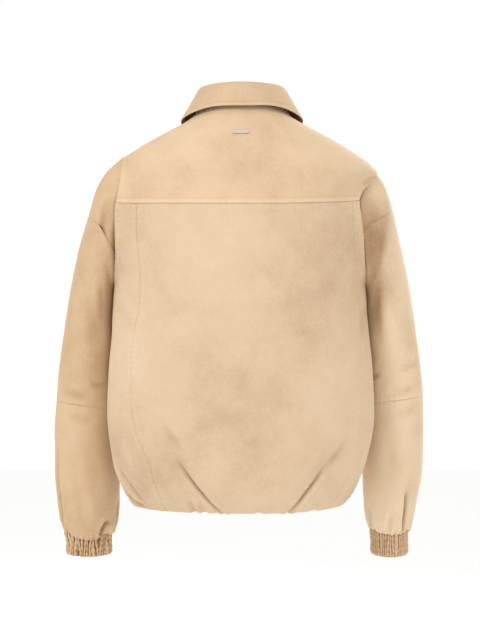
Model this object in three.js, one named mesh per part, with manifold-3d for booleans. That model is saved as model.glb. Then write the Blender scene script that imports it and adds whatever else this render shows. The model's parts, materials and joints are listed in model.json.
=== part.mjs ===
// A suede blouson jacket, hollow and filled out as it is worn.
// Millimetres, +Z up. The front faces -Y and the wearer's left is +X.
// The origin is the middle of the neck base, where the wearer's neck and shoulders hold the jacket.
import * as THREE from "three";
import Module from "manifold-3d";

const wasm = await Module();
wasm.setup();

// Driving sizes
const WALL = 2; // suede with its backing
const SEAM_GAP = 0.3; // between two pieces at a seam
const SIDES = { left: 1, right: -1 }; // the sign of X
const BACK_LOOP_DEPTH = 64; // armhole, from its middle to its back edge
const FRONT_LOOP_DEPTH = 60;
const LOOP_TOP = { left: -50, right: -74.5 };
const LOOP_BOTTOM = -240;
const YOKE_SEAM = { left: -119.5, right: -116 };
const YOKE_DIP = 7; // how much lower its seam runs at the centre back
const FRONT_DROP = 24; // how much lower the centre front is than the shoulder point
const NECK = { side: 17, back: 37, front: -38 }; // heights of the neck seam
const LOOP_REACH = 0.65; // how far in from the side the armhole shapes the body
const BODY_SQUARENESS = 0.8; // 1 is an ellipse, less is a squarer oval
const TABLE_SAMPLES = { u: 0.004, v: 0.01 }; // steps used to measure a surface's slope

// The body from the hem's seam, which is tucked up inside, to the armpit.
// zL, zR: height at the wearer's left and right side; zB, zF: height at the centre back and front.
// left, right: half widths; back, front: depths; sideY: where the side seam runs; rows: rows of faces to the next one.
const BODY = [
  { name: "band seam", zL: -530, zR: -531, zB: -529, zF: -529, left: 143, right: 139, back: 92, front: 88, sideY: 4, rows: 1 },
  { name: "under tuck", zL: -550, zR: -551, zB: -554, zF: -552, left: 148, right: 144, back: 95, front: 91, sideY: 4, rows: 2 },
  { name: "bottom", zL: -570, zR: -568, zB: -571, zF: -569, left: 157, right: 151, back: 106, front: 101, sideY: 4, rows: 1 },
  { name: "roll", zL: -559, zR: -558, zB: -560, zF: -558, left: 170, right: 162, back: 121, front: 115, sideY: 5, rows: 2 },
  { name: "low swell", zL: -539, zR: -538, zB: -536, zF: -534, left: 180.5, right: 172, back: 131, front: 125, sideY: 7, rows: 3 },
  { name: "swell", zL: -499, zR: -499, zB: -494, zF: -492, left: 193.5, right: 186, back: 139, front: 133, sideY: 10, rows: 4 },
  { name: "widest", zL: -432, zR: -432, zB: -428, zF: -428, left: 201, right: 197, back: 142, front: 137, sideY: 12, rows: 2 },
  { name: "hip", zL: -370, zR: -370, zB: -367, zF: -367, left: 198.6, right: 195, back: 139, front: 135, sideY: 10, rows: 2 },
  { name: "waist", zL: -305, zR: -305, zB: -305, zF: -305, left: 193.5, right: 189, back: 134, front: 131, sideY: 4, rows: 2 },
  { name: "armpit", zL: -240, zR: -240, zB: -240, zF: -240, left: 192, right: 185.5, back: 128, front: 128, sideY: -6 },
];
// Half width against height, over the armhole's edge and then along the shoulder to the neck.
const EDGE_LEFT = [
  { z: -240, x: 192 }, { z: -215, x: 189 }, { z: -190, x: 187 }, { z: -134, x: 187 }, { z: -119.5, x: 185.5 },
  { z: -101.5, x: 182.5 }, { z: -80, x: 180 }, { z: -63, x: 180.5 }, { z: -50, x: 181.5 }, { z: -37.5, x: 160 },
  { z: -25.5, x: 138.5 }, { z: -13.5, x: 115.5 }, { z: -1.5, x: 92 }, { z: 8, x: 78 }, { z: 17, x: 69 },
];
const EDGE_RIGHT = [
  { z: -240, x: 185.5 }, { z: -178, x: 179.5 }, { z: -136, x: 174.5 }, { z: -116, x: 173 }, { z: -105, x: 178 },
  { z: -90, x: 190 }, { z: -74.5, x: 203 }, { z: -61.5, x: 193.5 }, { z: -49.5, x: 177.5 }, { z: -37.5, x: 159 },
  { z: -25.5, x: 139 }, { z: -13.5, x: 115.5 }, { z: -1.5, x: 93 }, { z: 8, x: 78 }, { z: 17, x: 69 },
];
// Depth of the centre back and centre front against height.
const BACK_DEPTH = [
  { z: -240, y: 128 }, { z: -190, y: 124.5 }, { z: -150, y: 121 }, { z: -115, y: 117 }, { z: -80, y: 112 },
  { z: -50, y: 106 }, { z: -20, y: 95 }, { z: 5, y: 82 }, { z: 25, y: 69 }, { z: 37, y: 60 },
];
const FRONT_DEPTH = [
  { z: -240, y: 128 }, { z: -190, y: 126 }, { z: -150, y: 120 }, { z: -115, y: 112 }, { z: -95, y: 105 },
  { z: -70, y: 93 }, { z: -50, y: 83 }, { z: -38, y: 76 },
];
// The seams between the back and its side panels: X against height.
const BACK_SEAM_LEFT = [
  { z: -567, x: 112 }, { z: -536, x: 123 }, { z: -493, x: 136 }, { z: -458, x: 151 }, { z: -423, x: 160 },
  { z: -365, x: 161 }, { z: -307, x: 156 }, { z: -271, x: 149 }, { z: -242, x: 148 }, { z: -169, x: 154 },
  { z: -115, x: 155 },
];
const BACK_SEAM_RIGHT = [
  { z: -567, x: 128 }, { z: -538, x: 144 }, { z: -503, x: 159 }, { z: -452, x: 171 }, { z: -387, x: 173 },
  { z: -336, x: 173 }, { z: -263, x: 171 }, { z: -205, x: 167 }, { z: -115, x: 161 },
];
// The folds that the tight hem pulls into the cloth, each from its soft upper end to the hem.
// x, z: the upper end; hemX: where it crosses the bottom of the hem. A negative depth is a lobe between two folds.
const BACK_FOLDS = [
  { name: "long left", x: 94, z: -492, hemX: 26, depth: 10, width: 14 },
  { name: "short left", x: 108, z: -446, hemX: 76, depth: 4, width: 16 },
  { name: "low left", x: 180, z: -506, hemX: 138, depth: 7, width: 12 },
  { name: "left lobe", x: 112, z: -520, hemX: 84, depth: -6, width: 26 },
  { name: "long right", x: -148, z: -470, hemX: -63, depth: 10, width: 15 },
  { name: "right lobe", x: -80, z: -520, hemX: -30, depth: -3, width: 24 },
];
const FRONT_FOLDS = [
  { name: "long left", x: 132, z: -486, hemX: 62, depth: 8, width: 16 },
  { name: "low left", x: 168, z: -512, hemX: 128, depth: 6, width: 15 },
  { name: "long right", x: -122, z: -492, hemX: -52, depth: 8, width: 16 },
  { name: "low right", x: -166, z: -504, hemX: -120, depth: 6, width: 15 },
];
const FOLD_RUN_IN = 0.6; // share of a fold over which it comes in
const FOLD_RUN_OUT = 38; // length above the bottom over which it fades
const FOLD_AT_HEM = 0.35; // share of its depth left at the bottom

// The sleeves, a section for each stretch: the outer and inner point of its ring in X and Z, the ring's middle in Y,
// its half depth, and how far its back and front are lifted.
const SLEEVE_LEFT = [
  { name: "armhole", outX: 181.5, outZ: -50, inX: 192, inZ: -240, y: -6, depth: 62, lift: 0 },
  { name: "cap", outX: 205, outZ: -72, inX: 194.5, inZ: -244.5, y: -8, depth: 66, lift: 4 },
  { name: "low cap", outX: 219, outZ: -96.5, inX: 195.5, inZ: -250, y: -11, depth: 68, lift: 8 },
  { name: "cap seam", outX: 231, outZ: -135, inX: 195.5, inZ: -260, y: -17, depth: 69, lift: 10 },
  { name: "biceps", outX: 247, outZ: -185, inX: 195.5, inZ: -281, y: -30, depth: 68, lift: 8 },
  { name: "upper", outX: 259.5, outZ: -240, inX: 195, inZ: -308, y: -46, depth: 66, lift: 2 },
  { name: "mid", outX: 272, outZ: -310.5, inX: 194, inZ: -345, y: -60, depth: 63, lift: 0 },
  { name: "above elbow", outX: 281, outZ: -367, inX: 193, inZ: -385, y: -70, depth: 61, lift: 0 },
  { name: "elbow", outX: 285.5, outZ: -416, inX: 192, inZ: -429, y: -76, depth: 59, lift: 0 },
  { name: "forearm", outX: 289, outZ: -467.5, inX: 190.5, inZ: -473.5, y: -81, depth: 57, lift: 0 },
  { name: "full", outX: 289, outZ: -519, inX: 189, inZ: -521, y: -84, depth: 54, lift: 0 },
  { name: "low", outX: 286, outZ: -564.5, inX: 189.5, inZ: -564.5, y: -84, depth: 50, lift: 0 },
  { name: "gather", outX: 281, outZ: -603, inX: 192.5, inZ: -604, y: -84, depth: 44, lift: -3 },
  { name: "lip top", outX: 278, outZ: -613, inX: 195.5, inZ: -615, y: -84, depth: 38, lift: -8 },
  { name: "lip", outX: 275, outZ: -619, inX: 198.2, inZ: -622, y: -84, depth: 34, lift: -9 },
];
const SLEEVE_RIGHT = [
  { name: "armhole", outX: 203, outZ: -74.5, inX: 185.5, inZ: -240, y: -6, depth: 62, lift: 0 },
  { name: "cap", outX: 212, outZ: -87.5, inX: 188.5, inZ: -244.5, y: -8, depth: 65, lift: 4 },
  { name: "low cap", outX: 219.5, outZ: -105, inX: 189.5, inZ: -250, y: -11, depth: 66, lift: 6 },
  { name: "cap seam", outX: 227.5, outZ: -131, inX: 190, inZ: -259, y: -17, depth: 67, lift: 8 },
  { name: "biceps", outX: 240, outZ: -181.5, inX: 190, inZ: -281, y: -30, depth: 67, lift: 6 },
  { name: "upper", outX: 254.5, outZ: -240, inX: 190.5, inZ: -308, y: -46, depth: 65, lift: 2 },
  { name: "mid", outX: 266.5, outZ: -310.5, inX: 191, inZ: -345, y: -60, depth: 62, lift: 0 },
  { name: "above elbow", outX: 274.5, outZ: -362, inX: 190.5, inZ: -380, y: -70, depth: 60, lift: 0 },
  { name: "elbow", outX: 279, outZ: -408, inX: 190, inZ: -421, y: -76, depth: 58, lift: 0 },
  { name: "forearm", outX: 280, outZ: -467.5, inX: 189, inZ: -473.5, y: -81, depth: 56, lift: 0 },
  { name: "full", outX: 279, outZ: -522, inX: 187, inZ: -522, y: -84, depth: 54, lift: 0 },
  { name: "low", outX: 271.5, outZ: -566.5, inX: 188, inZ: -564.5, y: -84, depth: 51, lift: 0 },
  { name: "gather", outX: 264.5, outZ: -603, inX: 191.5, inZ: -601, y: -84, depth: 46, lift: 0 },
  { name: "lip top", outX: 262.5, outZ: -613, inX: 194, inZ: -611, y: -84, depth: 42, lift: -1 },
  { name: "lip", outX: 260, outZ: -619, inX: 196.2, inZ: -617, y: -84, depth: 39, lift: -2 },
];
const EDGE_BLEND = 12; // length over which the wall's direction turns from the armhole's to the sleeve's
const CAP_BLEND = 40; // length over which the armhole's own outline turns into the sleeve's rings
// Folds just above each cuff, where the full sleeve meets the elastic. angle: 90 is the back, 0 the outside.
const SLEEVE_FOLDS = {
  left: [
    { angle: 36, depth: 5, width: 11 }, { angle: 142, depth: 6, width: 13 }, { angle: 222, depth: 5, width: 13 },
    { angle: 300, depth: 5, width: 13 },
  ],
  right: [
    { angle: 50, depth: 7, width: 11 }, { angle: 150, depth: 4, width: 12 }, { angle: 232, depth: 5, width: 13 },
    { angle: 310, depth: 5, width: 13 },
  ],
};
const SLEEVE_FOLD_LENGTH = 62;

// The seam below each sleeve's cap: how far down the sleeve it runs on the outside, and where it meets the armhole.
const CAP_SEAM = { left: { meets: 118 }, right: { meets: 88 } };
const CAP_SEAM_END = 1.2; // width of the cap where it runs out

// Elastic cuffs and hem band. The cuff's widest gathers sit just inside the sleeve's end.
const SEAT = 0.4; // between elastic and suede
const CUFFS = {
  left: { top: -606, bottom: -655.5, gathers: 40 },
  right: { top: -606, bottom: -655.5, gathers: 40 },
};
const CUFF_WAVE = 1.6; // height of a gather
const CUFF_RELAX = 0.96; // width of the middle of the cuff against its ends
const BAND = { height: 26, sideLift: 4, gathers: 56, wave: 2.6 };

// Collar: the fold ring and the leaf's edge, at angles round the neck from the centre back (0) to the front (180).
// toward and reach: where the edge lies in plan, from the middle of the neck; lift: how far it stands off the body.
const FOLD_RING = { halfWidth: 62.5, halfDepth: 63, middleY: -7, back: 57, side: 55, front: -8 };
const LEAF_EDGE = [
  { angle: 0, toward: 0, reach: 80, lift: 8 }, { angle: 25, toward: 24, reach: 80, lift: 8 },
  { angle: 50, toward: 49, reach: 81, lift: 7 }, { angle: 75, toward: 74, reach: 83.5, lift: 6 },
  { angle: 95, toward: 96, reach: 85, lift: 5 }, { angle: 120, toward: 118, reach: 90, lift: 5 },
  { angle: 145, toward: 137, reach: 98, lift: 5 }, { angle: 172, toward: 153, reach: 106, lift: 4 },
];
const COLLAR_FRONT_ANGLE = 172; // where the collar's front ends stop, short of the centre front
const COLLAR_WALL = 2;
const LEAF_SWELL = 3; // how far the leaf bows out between its fold and its edge

// Zip
const ZIP_GAP = 4.5; // from the centre front to each front's edge
const ZIP = { tapeHalf: 12, tapeThick: 1, chainHalf: 3, top: -46 };
const SLIDER = { height: -64, halfWidth: 4.2, halfLength: 6.5, plate: 1.6, arch: 2, archReach: 4.6, archRoof: 1 };
const PULL = { halfWidth: 3.4, length: 25, thick: 1.4, rail: 0.7, eyeHalf: 1.7, eyeLength: 8 };
const PULL_CLEARANCE = 0.45;

// Plain metal bar sewn on below the collar
const BAR = { x: 2, z: -21, width: 23, height: 5, thick: 1.2 };

// How finely each part is divided
const ARM_LOW_ROWS = 7;
const ARM_HIGH_ROWS = 4;
const SHOULDER_ROWS = 5;
const BACK_COLUMNS = 26;
const SIDE_PANEL_COLUMNS = 5;
const YOKE_COLUMNS = 26;
const FRONT_COLUMNS = 11;
const COLLAR_COLUMNS = 30;
const UPPER_SHARES = [0, 0.04, 0.1, 0.18, 0.28, 0.39, 0.51, 0.64, 0.76, 0.88, 1];
const LOWER_SHARES = [0, 0.25, 0.45, 0.6, 0.72, 0.82, 0.9, 0.96, 1];

const SUEDE = new THREE.MeshStandardMaterial({ color: 0xd9b98f, roughness: 0.95, metalness: 0 });
const METAL = new THREE.MeshStandardMaterial({ color: 0xc8c6c0, roughness: 0.35, metalness: 1 });
const TAPE = new THREE.MeshStandardMaterial({ color: 0xb59468, roughness: 0.9, metalness: 0 });

const radians = THREE.MathUtils.degToRad;
const mix = THREE.MathUtils.lerp;
const clamp = THREE.MathUtils.clamp;
const smooth = (x) => THREE.MathUtils.smoothstep(x, 0, 1);

// A smooth line through a table's values that never swings past two neighbours.
function curve(keys, values) {
  const last = keys.length - 1;
  const step = keys.slice(1).map((k, i) => k - keys[i]);
  const rise = step.map((h, i) => (values[i + 1] - values[i]) / h);
  const slope = values.map((_, i) => {
    if (i === 0) return rise[0];
    if (i === last) return rise[last - 1];
    if (rise[i - 1] * rise[i] <= 0) return 0;
    const a = 2 * step[i] + step[i - 1];
    const b = step[i] + 2 * step[i - 1];
    return (a + b) / (a / rise[i - 1] + b / rise[i]);
  });
  return (x) => {
    let i = 0;
    while (i < last - 1 && x > keys[i + 1]) i += 1;
    const t = clamp((x - keys[i]) / step[i], 0, 1);
    const t2 = t * t;
    const t3 = t2 * t;
    return (
      (2 * t3 - 3 * t2 + 1) * values[i] +
      (t3 - 2 * t2 + t) * step[i] * slope[i] +
      (3 * t2 - 2 * t3) * values[i + 1] +
      (t3 - t2) * step[i] * slope[i + 1]
    );
  };
}

// A curve for each named column of a table, all against the same keys.
function curves(table, keys, columns) {
  return Object.fromEntries(columns.map((c) => [c, curve(keys, table.map((row) => row[c]))]));
}

// Distance along a table's rows, measured in the plane of two of its columns.
function lengths(table, a, b) {
  let total = 0;
  return table.map((row, i) => {
    if (i > 0) total += Math.hypot(row[a] - table[i - 1][a], row[b] - table[i - 1][b]);
    return total;
  });
}

const byHeight = (table, column) => curve(table.map((r) => r.z), table.map((r) => r[column]));
const bodyLength = lengths(BODY, "back", "zB");
const ARMPIT_LENGTH = bodyLength[bodyLength.length - 1];
const body = curves(BODY, bodyLength, ["zL", "zR", "zB", "zF", "left", "right", "back", "front", "sideY"]);
const edgeX = { left: byHeight(EDGE_LEFT, "x"), right: byHeight(EDGE_RIGHT, "x") };
const backDepth = byHeight(BACK_DEPTH, "y");
const frontDepth = byHeight(FRONT_DEPTH, "y");
const SHOULDER_Y = BODY[BODY.length - 1].sideY;

// The armhole is an oval loop; at station 2 it starts at the armpit, at 3 it meets the yoke seam, at 4 the shoulder.
function loopAngle(side, station) {
  const middle = (LOOP_TOP[side] + LOOP_BOTTOM) / 2;
  const half = (LOOP_TOP[side] - LOOP_BOTTOM) / 2;
  const atSeam = Math.acos((YOKE_SEAM[side] - middle) / half);
  const angle = station <= 3 ? mix(Math.PI, atSeam, station - 2) : mix(atSeam, 0, station - 3);
  return { angle, z: middle + half * Math.cos(angle) };
}

// One section of the body. Stations 0 to 2 run from the hem's seam to the armpit, 2 to 4 up the armhole,
// and 4 to 5 along the shoulder to the neck seam.
function section(station) {
  if (station <= 2) {
    const s = (ARMPIT_LENGTH * station) / 2;
    const row = Object.fromEntries(Object.entries(body).map(([k, f]) => [k, f(s)]));
    return { ...row, loopL: 0, loopR: 0, square: BODY_SQUARENESS };
  }
  if (station <= 4) {
    const l = loopAngle("left", station);
    const r = loopAngle("right", station);
    const middle = (l.z + r.z) / 2;
    const z = middle - YOKE_DIP * smooth(station - 2);
    const zF = middle - FRONT_DROP * smooth(station - 3);
    return {
      zL: l.z, zR: r.z, zB: z, zF, left: edgeX.left(l.z), right: edgeX.right(r.z),
      back: backDepth(z), front: frontDepth(zF), sideY: SHOULDER_Y,
      loopL: Math.sin(l.angle), loopR: Math.sin(r.angle), square: BODY_SQUARENESS,
    };
  }
  const t = station - 4;
  const zL = mix(LOOP_TOP.left, NECK.side, t);
  const zR = mix(LOOP_TOP.right, NECK.side, t);
  const middle = (LOOP_TOP.left + LOOP_TOP.right) / 2;
  const zB = mix(middle - YOKE_DIP, NECK.back, t);
  const zF = mix(middle - FRONT_DROP, NECK.front, t);
  return {
    zL, zR, zB, zF, left: edgeX.left(zL), right: edgeX.right(zR), back: backDepth(zB), front: frontDepth(zF),
    sideY: SHOULDER_Y, loopL: 0, loopR: 0, square: mix(BODY_SQUARENESS, 1, t),
  };
}

// A point of the body before its folds. face is 1 on the back and -1 on the front; across runs from -1 to 1.
function plainBody(face, across, row) {
  const turn = (Math.PI / 2) * Math.abs(across) ** (1 / row.square);
  const share = Math.sin(turn);
  const halfWidth = across > 0 ? row.left : row.right;
  const sideZ = across > 0 ? row.zL : row.zR;
  const open = across > 0 ? row.loopL : row.loopR;
  const loop = open * (face > 0 ? BACK_LOOP_DEPTH : FRONT_LOOP_DEPTH);
  const depth = face > 0 ? row.back - row.sideY : row.front + row.sideY;
  const nearEdge = Math.max(0, 1 - Math.cos(turn) / LOOP_REACH) ** (1.5 + 4 * (1 - open) ** 2);
  const middleZ = face > 0 ? row.zB : row.zF;
  return new THREE.Vector3(
    Math.sign(across) * halfWidth * share ** row.square,
    row.sideY + face * (depth * Math.cos(turn) + loop * nearEdge),
    mix(middleZ, sideZ, share * share),
  );
}

// The outward direction of the body at a point, worked out from the slope of its surface.
function bodyNormal(face, across, station) {
  const du = TABLE_SAMPLES.u;
  const dv = TABLE_SAMPLES.v;
  const right = Math.min(across + du, 1);
  const left = Math.max(across - du, -1);
  const up = Math.min(station + dv, 5);
  const down = Math.max(station - dv, 0);
  const here = section(station);
  const acrossStep = plainBody(face, right, here).sub(plainBody(face, left, here));
  const upStep = plainBody(face, across, section(up)).sub(plainBody(face, across, section(down)));
  return upStep.cross(acrossStep).multiplyScalar(face).normalize();
}

// Across value at which a section reaches a given X.
function acrossAt(x, row) {
  const share = clamp(Math.abs(x) / (x > 0 ? row.left : row.right), 0, 1);
  const turn = Math.asin(share ** (1 / row.square));
  return Math.sign(x) * (turn / (Math.PI / 2)) ** row.square;
}

const outerRows = BODY.map((row, i) => ({ z: row.zB, length: bodyLength[i] })).slice(2);
const lengthAtHeight = curve(outerRows.map((r) => r.z), outerRows.map((r) => r.length));
const HEM_LENGTH = bodyLength[2];

// How deep the hem's folds press the cloth in at a point. Under the hem they run on straight and fade out.
function foldDepth(folds, x, length) {
  return folds.reduce((sum, fold) => {
    const top = lengthAtHeight(fold.z);
    const along = (top - length) / (top - HEM_LENGTH);
    const off = (x - mix(fold.x, fold.hemX, clamp(along, 0, 1))) / fold.width;
    const runIn = smooth((along + 0.1) / FOLD_RUN_IN);
    const atHem = mix(FOLD_AT_HEM, 1, smooth((length - HEM_LENGTH) / FOLD_RUN_OUT));
    const underHem = smooth((2 * length) / HEM_LENGTH - 1);
    return sum + fold.depth * runIn * atHem * underHem * Math.exp(-off * off);
  }, 0);
}

// The body's outer surface with its folds.
function bodyPoint(face, across, station) {
  const point = plainBody(face, across, section(station));
  if (station >= 2) return point;
  const folds = face > 0 ? BACK_FOLDS : FRONT_FOLDS;
  const depth = foldDepth(folds, point.x, (ARMPIT_LENGTH * station) / 2);
  return point.addScaledVector(bodyNormal(face, across, station), -depth);
}

// The wall's direction along the armhole, the same for the body and the sleeve.
function armholeNormal(side, angle, face) {
  return new THREE.Vector3(SIDES[side], face * Math.sin(angle), Math.cos(angle)).normalize();
}

// Moves a grid's edges in by half a seam gap, so that neighbouring pieces stay apart.
function trimEdges(grid, edges) {
  const pull = (point, next) => {
    const way = next.clone().sub(point);
    return point.clone().addScaledVector(way.normalize(), SEAM_GAP / 2);
  };
  const rows = grid.length - 1;
  const columns = grid[0].length - 1;
  let made = grid.map((row) => row.slice());
  if (edges.includes("first row")) made[0] = made[0].map((p, j) => pull(p, made[1][j]));
  if (edges.includes("last row")) made[rows] = made[rows].map((p, j) => pull(p, made[rows - 1][j]));
  if (edges.includes("first column")) made = made.map((row) => [pull(row[0], row[1]), ...row.slice(1)]);
  if (edges.includes("last column")) {
    made = made.map((row) => [...row.slice(0, columns), pull(row[columns], row[columns - 1])]);
  }
  return made;
}

// A closed wall between two grids of points. A round wall joins its last column to its first.
function wallBetween(outer, inner, round) {
  const rows = outer.length;
  const columns = outer[0].length;
  const points = [...outer.flat(), ...inner.flat()];
  const at = (layer, i, j) => layer * rows * columns + i * columns + (j % columns);
  const faces = [];
  const quad = (a, b, c, d) => faces.push(a, b, c, a, c, d);
  const spans = round ? columns : columns - 1;
  for (let i = 0; i < rows - 1; i += 1) {
    for (let j = 0; j < spans; j += 1) {
      quad(at(0, i, j), at(0, i, j + 1), at(0, i + 1, j + 1), at(0, i + 1, j));
      quad(at(1, i, j), at(1, i + 1, j), at(1, i + 1, j + 1), at(1, i, j + 1));
    }
  }
  for (let j = 0; j < spans; j += 1) {
    quad(at(0, 0, j), at(1, 0, j), at(1, 0, j + 1), at(0, 0, j + 1));
    quad(at(0, rows - 1, j), at(0, rows - 1, j + 1), at(1, rows - 1, j + 1), at(1, rows - 1, j));
  }
  if (!round) {
    for (let i = 0; i < rows - 1; i += 1) {
      quad(at(0, i, 0), at(0, i + 1, 0), at(1, i + 1, 0), at(1, i, 0));
      quad(at(0, i, columns - 1), at(1, i, columns - 1), at(1, i + 1, columns - 1), at(0, i + 1, columns - 1));
    }
  }
  return facingOut(points, faces);
}

// A geometry whose faces point outwards, whichever way round they were listed.
function facingOut(points, faces) {
  let volume = 0;
  for (let i = 0; i < faces.length; i += 3) {
    const [a, b, c] = [0, 1, 2].map((k) => points[faces[i + k]]);
    volume += a.dot(b.clone().cross(c));
  }
  if (volume < 0) {
    for (let i = 0; i < faces.length; i += 3) [faces[i + 1], faces[i + 2]] = [faces[i + 2], faces[i + 1]];
  }
  const geometry = new THREE.BufferGeometry();
  geometry.setAttribute("position", new THREE.Float32BufferAttribute(points.flatMap((p) => [p.x, p.y, p.z]), 3));
  geometry.setIndex(faces);
  return geometry;
}

const steps = (from, to, count) => Array.from({ length: count + 1 }, (_, i) => mix(from, to, i / count));
const lowerStations = BODY.slice(0, -1).flatMap((row, i) =>
  steps(bodyLength[i], bodyLength[i + 1], row.rows).slice(0, -1).map((length) => (2 * length) / ARMPIT_LENGTH),
);
const armLow = steps(2, 3, ARM_LOW_ROWS);
const armHigh = steps(3, 4, ARM_HIGH_ROWS);
const shoulder = steps(4, 5, SHOULDER_ROWS);
const BELOW_YOKE = [...lowerStations, ...armLow];
const YOKE_STATIONS = [...armHigh, ...shoulder.slice(1)];
const FRONT_STATIONS = [...BELOW_YOKE, ...YOKE_STATIONS.slice(1)];
const isArmhole = (station) => station >= 2 && station <= 4;

// One body panel: from(row) and to(row) give its edges across, and edges says which ones are seams.
function bodyPanel({ face, stations, columns, from, to, edges }) {
  const cells = stations.map((station) => {
    const row = section(station);
    return steps(from(row, station), to(row, station), columns).map((across) => {
      const outer = bodyPoint(face, across, station);
      let normal = bodyNormal(face, across, station);
      if (Math.abs(across) === 1 && isArmhole(station)) {
        const side = across > 0 ? "left" : "right";
        normal = armholeNormal(side, loopAngle(side, station).angle, face);
      }
      return { outer, inner: outer.clone().addScaledVector(normal, -WALL) };
    });
  });
  const outer = trimEdges(cells.map((r) => r.map((c) => c.outer)), edges);
  const inner = trimEdges(cells.map((r) => r.map((c) => c.inner)), edges);
  return wallBetween(outer, inner, false);
}

const seamLeft = byHeight(BACK_SEAM_LEFT, "x");
const seamRight = byHeight(BACK_SEAM_RIGHT, "x");
const heightOf = (row, station) => (station < 0.3 ? BODY[2].zB : row.zB);
const leftSeamAcross = (row, station) => acrossAt(seamLeft(heightOf(row, station)), row);
const rightSeamAcross = (row, station) => acrossAt(-seamRight(heightOf(row, station)), row);

function buildBody() {
  const below = { face: 1, stations: BELOW_YOKE };
  return {
    back: bodyPanel({
      ...below, columns: BACK_COLUMNS, from: rightSeamAcross, to: leftSeamAcross,
      edges: ["last row", "first column", "last column"],
    }),
    back_side_left: bodyPanel({
      ...below, columns: SIDE_PANEL_COLUMNS, from: leftSeamAcross, to: () => 1,
      edges: ["last row", "first column", "last column"],
    }),
    back_side_right: bodyPanel({
      ...below, columns: SIDE_PANEL_COLUMNS, from: () => -1, to: rightSeamAcross,
      edges: ["last row", "first column", "last column"],
    }),
    yoke: bodyPanel({
      face: 1, stations: YOKE_STATIONS, columns: YOKE_COLUMNS, from: () => -1, to: () => 1,
      edges: ["first row", "last row", "first column", "last column"],
    }),
    front_left: bodyPanel({
      face: -1, stations: FRONT_STATIONS, columns: FRONT_COLUMNS, from: (row) => acrossAt(ZIP_GAP, row), to: () => 1,
      edges: ["last row", "last column"],
    }),
    front_right: bodyPanel({
      face: -1, stations: FRONT_STATIONS, columns: FRONT_COLUMNS, from: () => -1, to: (row) => acrossAt(-ZIP_GAP, row),
      edges: ["last row", "first column"],
    }),
  };
}

// Sleeve rings. An angle of 0 is the outer side, 90 the back, 180 the inner side and 270 the front.
const SLEEVES = { left: SLEEVE_LEFT, right: SLEEVE_RIGHT };
const RING_COLUMNS = ["outX", "outZ", "inX", "inZ", "y", "depth", "lift"];
const sleeve = Object.fromEntries(
  Object.entries(SLEEVES).map(([side, table]) => {
    const keys = lengths(table, "outX", "outZ");
    return [side, { keys, at: curves(table, keys, RING_COLUMNS), length: keys[keys.length - 1] }];
  }),
);
const sleeveKey = (side, name) => sleeve[side].keys[SLEEVES[side].findIndex((row) => row.name === name)];

function ringPoint(side, angle, key) {
  const at = sleeve[side].at;
  const cos = Math.cos(angle);
  const sin = Math.sin(angle);
  return new THREE.Vector3(
    SIDES[side] * mix(at.inX(key), at.outX(key), (1 + cos) / 2),
    at.y(key) + at.depth(key) * sin,
    mix(at.inZ(key), at.outZ(key), (1 + cos) / 2) + at.lift(key) * sin * sin,
  );
}

function armholePoint(side, angle) {
  const half = (LOOP_TOP[side] - LOOP_BOTTOM) / 2;
  const z = LOOP_BOTTOM + half * (1 + Math.cos(angle));
  const depth = Math.sin(angle) > 0 ? BACK_LOOP_DEPTH : FRONT_LOOP_DEPTH;
  return new THREE.Vector3(SIDES[side] * edgeX[side](z), SHOULDER_Y + depth * Math.sin(angle), z);
}

function plainSleeve(side, angle, key) {
  const point = ringPoint(side, angle, key);
  if (key >= CAP_BLEND) return point;
  const atEdge = armholePoint(side, angle).sub(ringPoint(side, angle, 0));
  return point.addScaledVector(atEdge, 1 - smooth(key / CAP_BLEND));
}

function sleeveNormal(side, angle, key) {
  const da = 0.02;
  const dk = 0.5;
  const turn = plainSleeve(side, angle + da, key).sub(plainSleeve(side, angle - da, key));
  const end = sleeve[side].length;
  const down = plainSleeve(side, angle, Math.min(key + dk, end)).sub(plainSleeve(side, angle, Math.max(key - dk, 0)));
  return turn.cross(down).multiplyScalar(-SIDES[side]).normalize();
}

function sleeveFoldDepth(side, angle, key) {
  const along = smooth((key - (sleeve[side].length - SLEEVE_FOLD_LENGTH)) / SLEEVE_FOLD_LENGTH);
  const lip = 1 - smooth((key - (sleeve[side].length - 16)) / 16);
  return SLEEVE_FOLDS[side].reduce((sum, fold) => {
    const turned = THREE.MathUtils.euclideanModulo(THREE.MathUtils.radToDeg(angle) - fold.angle + 180, 360) - 180;
    const off = turned / fold.width;
    return sum + fold.depth * along * lip * Math.exp(-off * off);
  }, 0);
}

// The ring's angles are those of the body's rows, so that the two edges of the armhole match.
function ringAngles(side) {
  const half = [...armLow, ...armHigh.slice(1)].map((station) => loopAngle(side, station).angle).reverse();
  return [...half, ...half.slice(1, -1).reverse().map((angle) => 2 * Math.PI - angle)];
}

const capMeets = Object.fromEntries(
  Object.entries(CAP_SEAM).map(([side, { meets }]) => {
    const off = (angle) => Math.abs(angle - radians(meets));
    return [side, ringAngles(side).reduce((best, angle) => (off(angle) < off(best) ? angle : best))];
  }),
);

// How far down the sleeve the cap's lower seam runs at an angle; past the point where it meets the armhole it is 0.
function capEnd(side, angle) {
  const turned = Math.acos(Math.cos(angle)) / capMeets[side];
  if (turned > 1.001) return 0;
  return mix(CAP_SEAM_END, sleeveKey(side, "cap seam"), Math.cos((Math.PI / 2) * turned));
}

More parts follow.
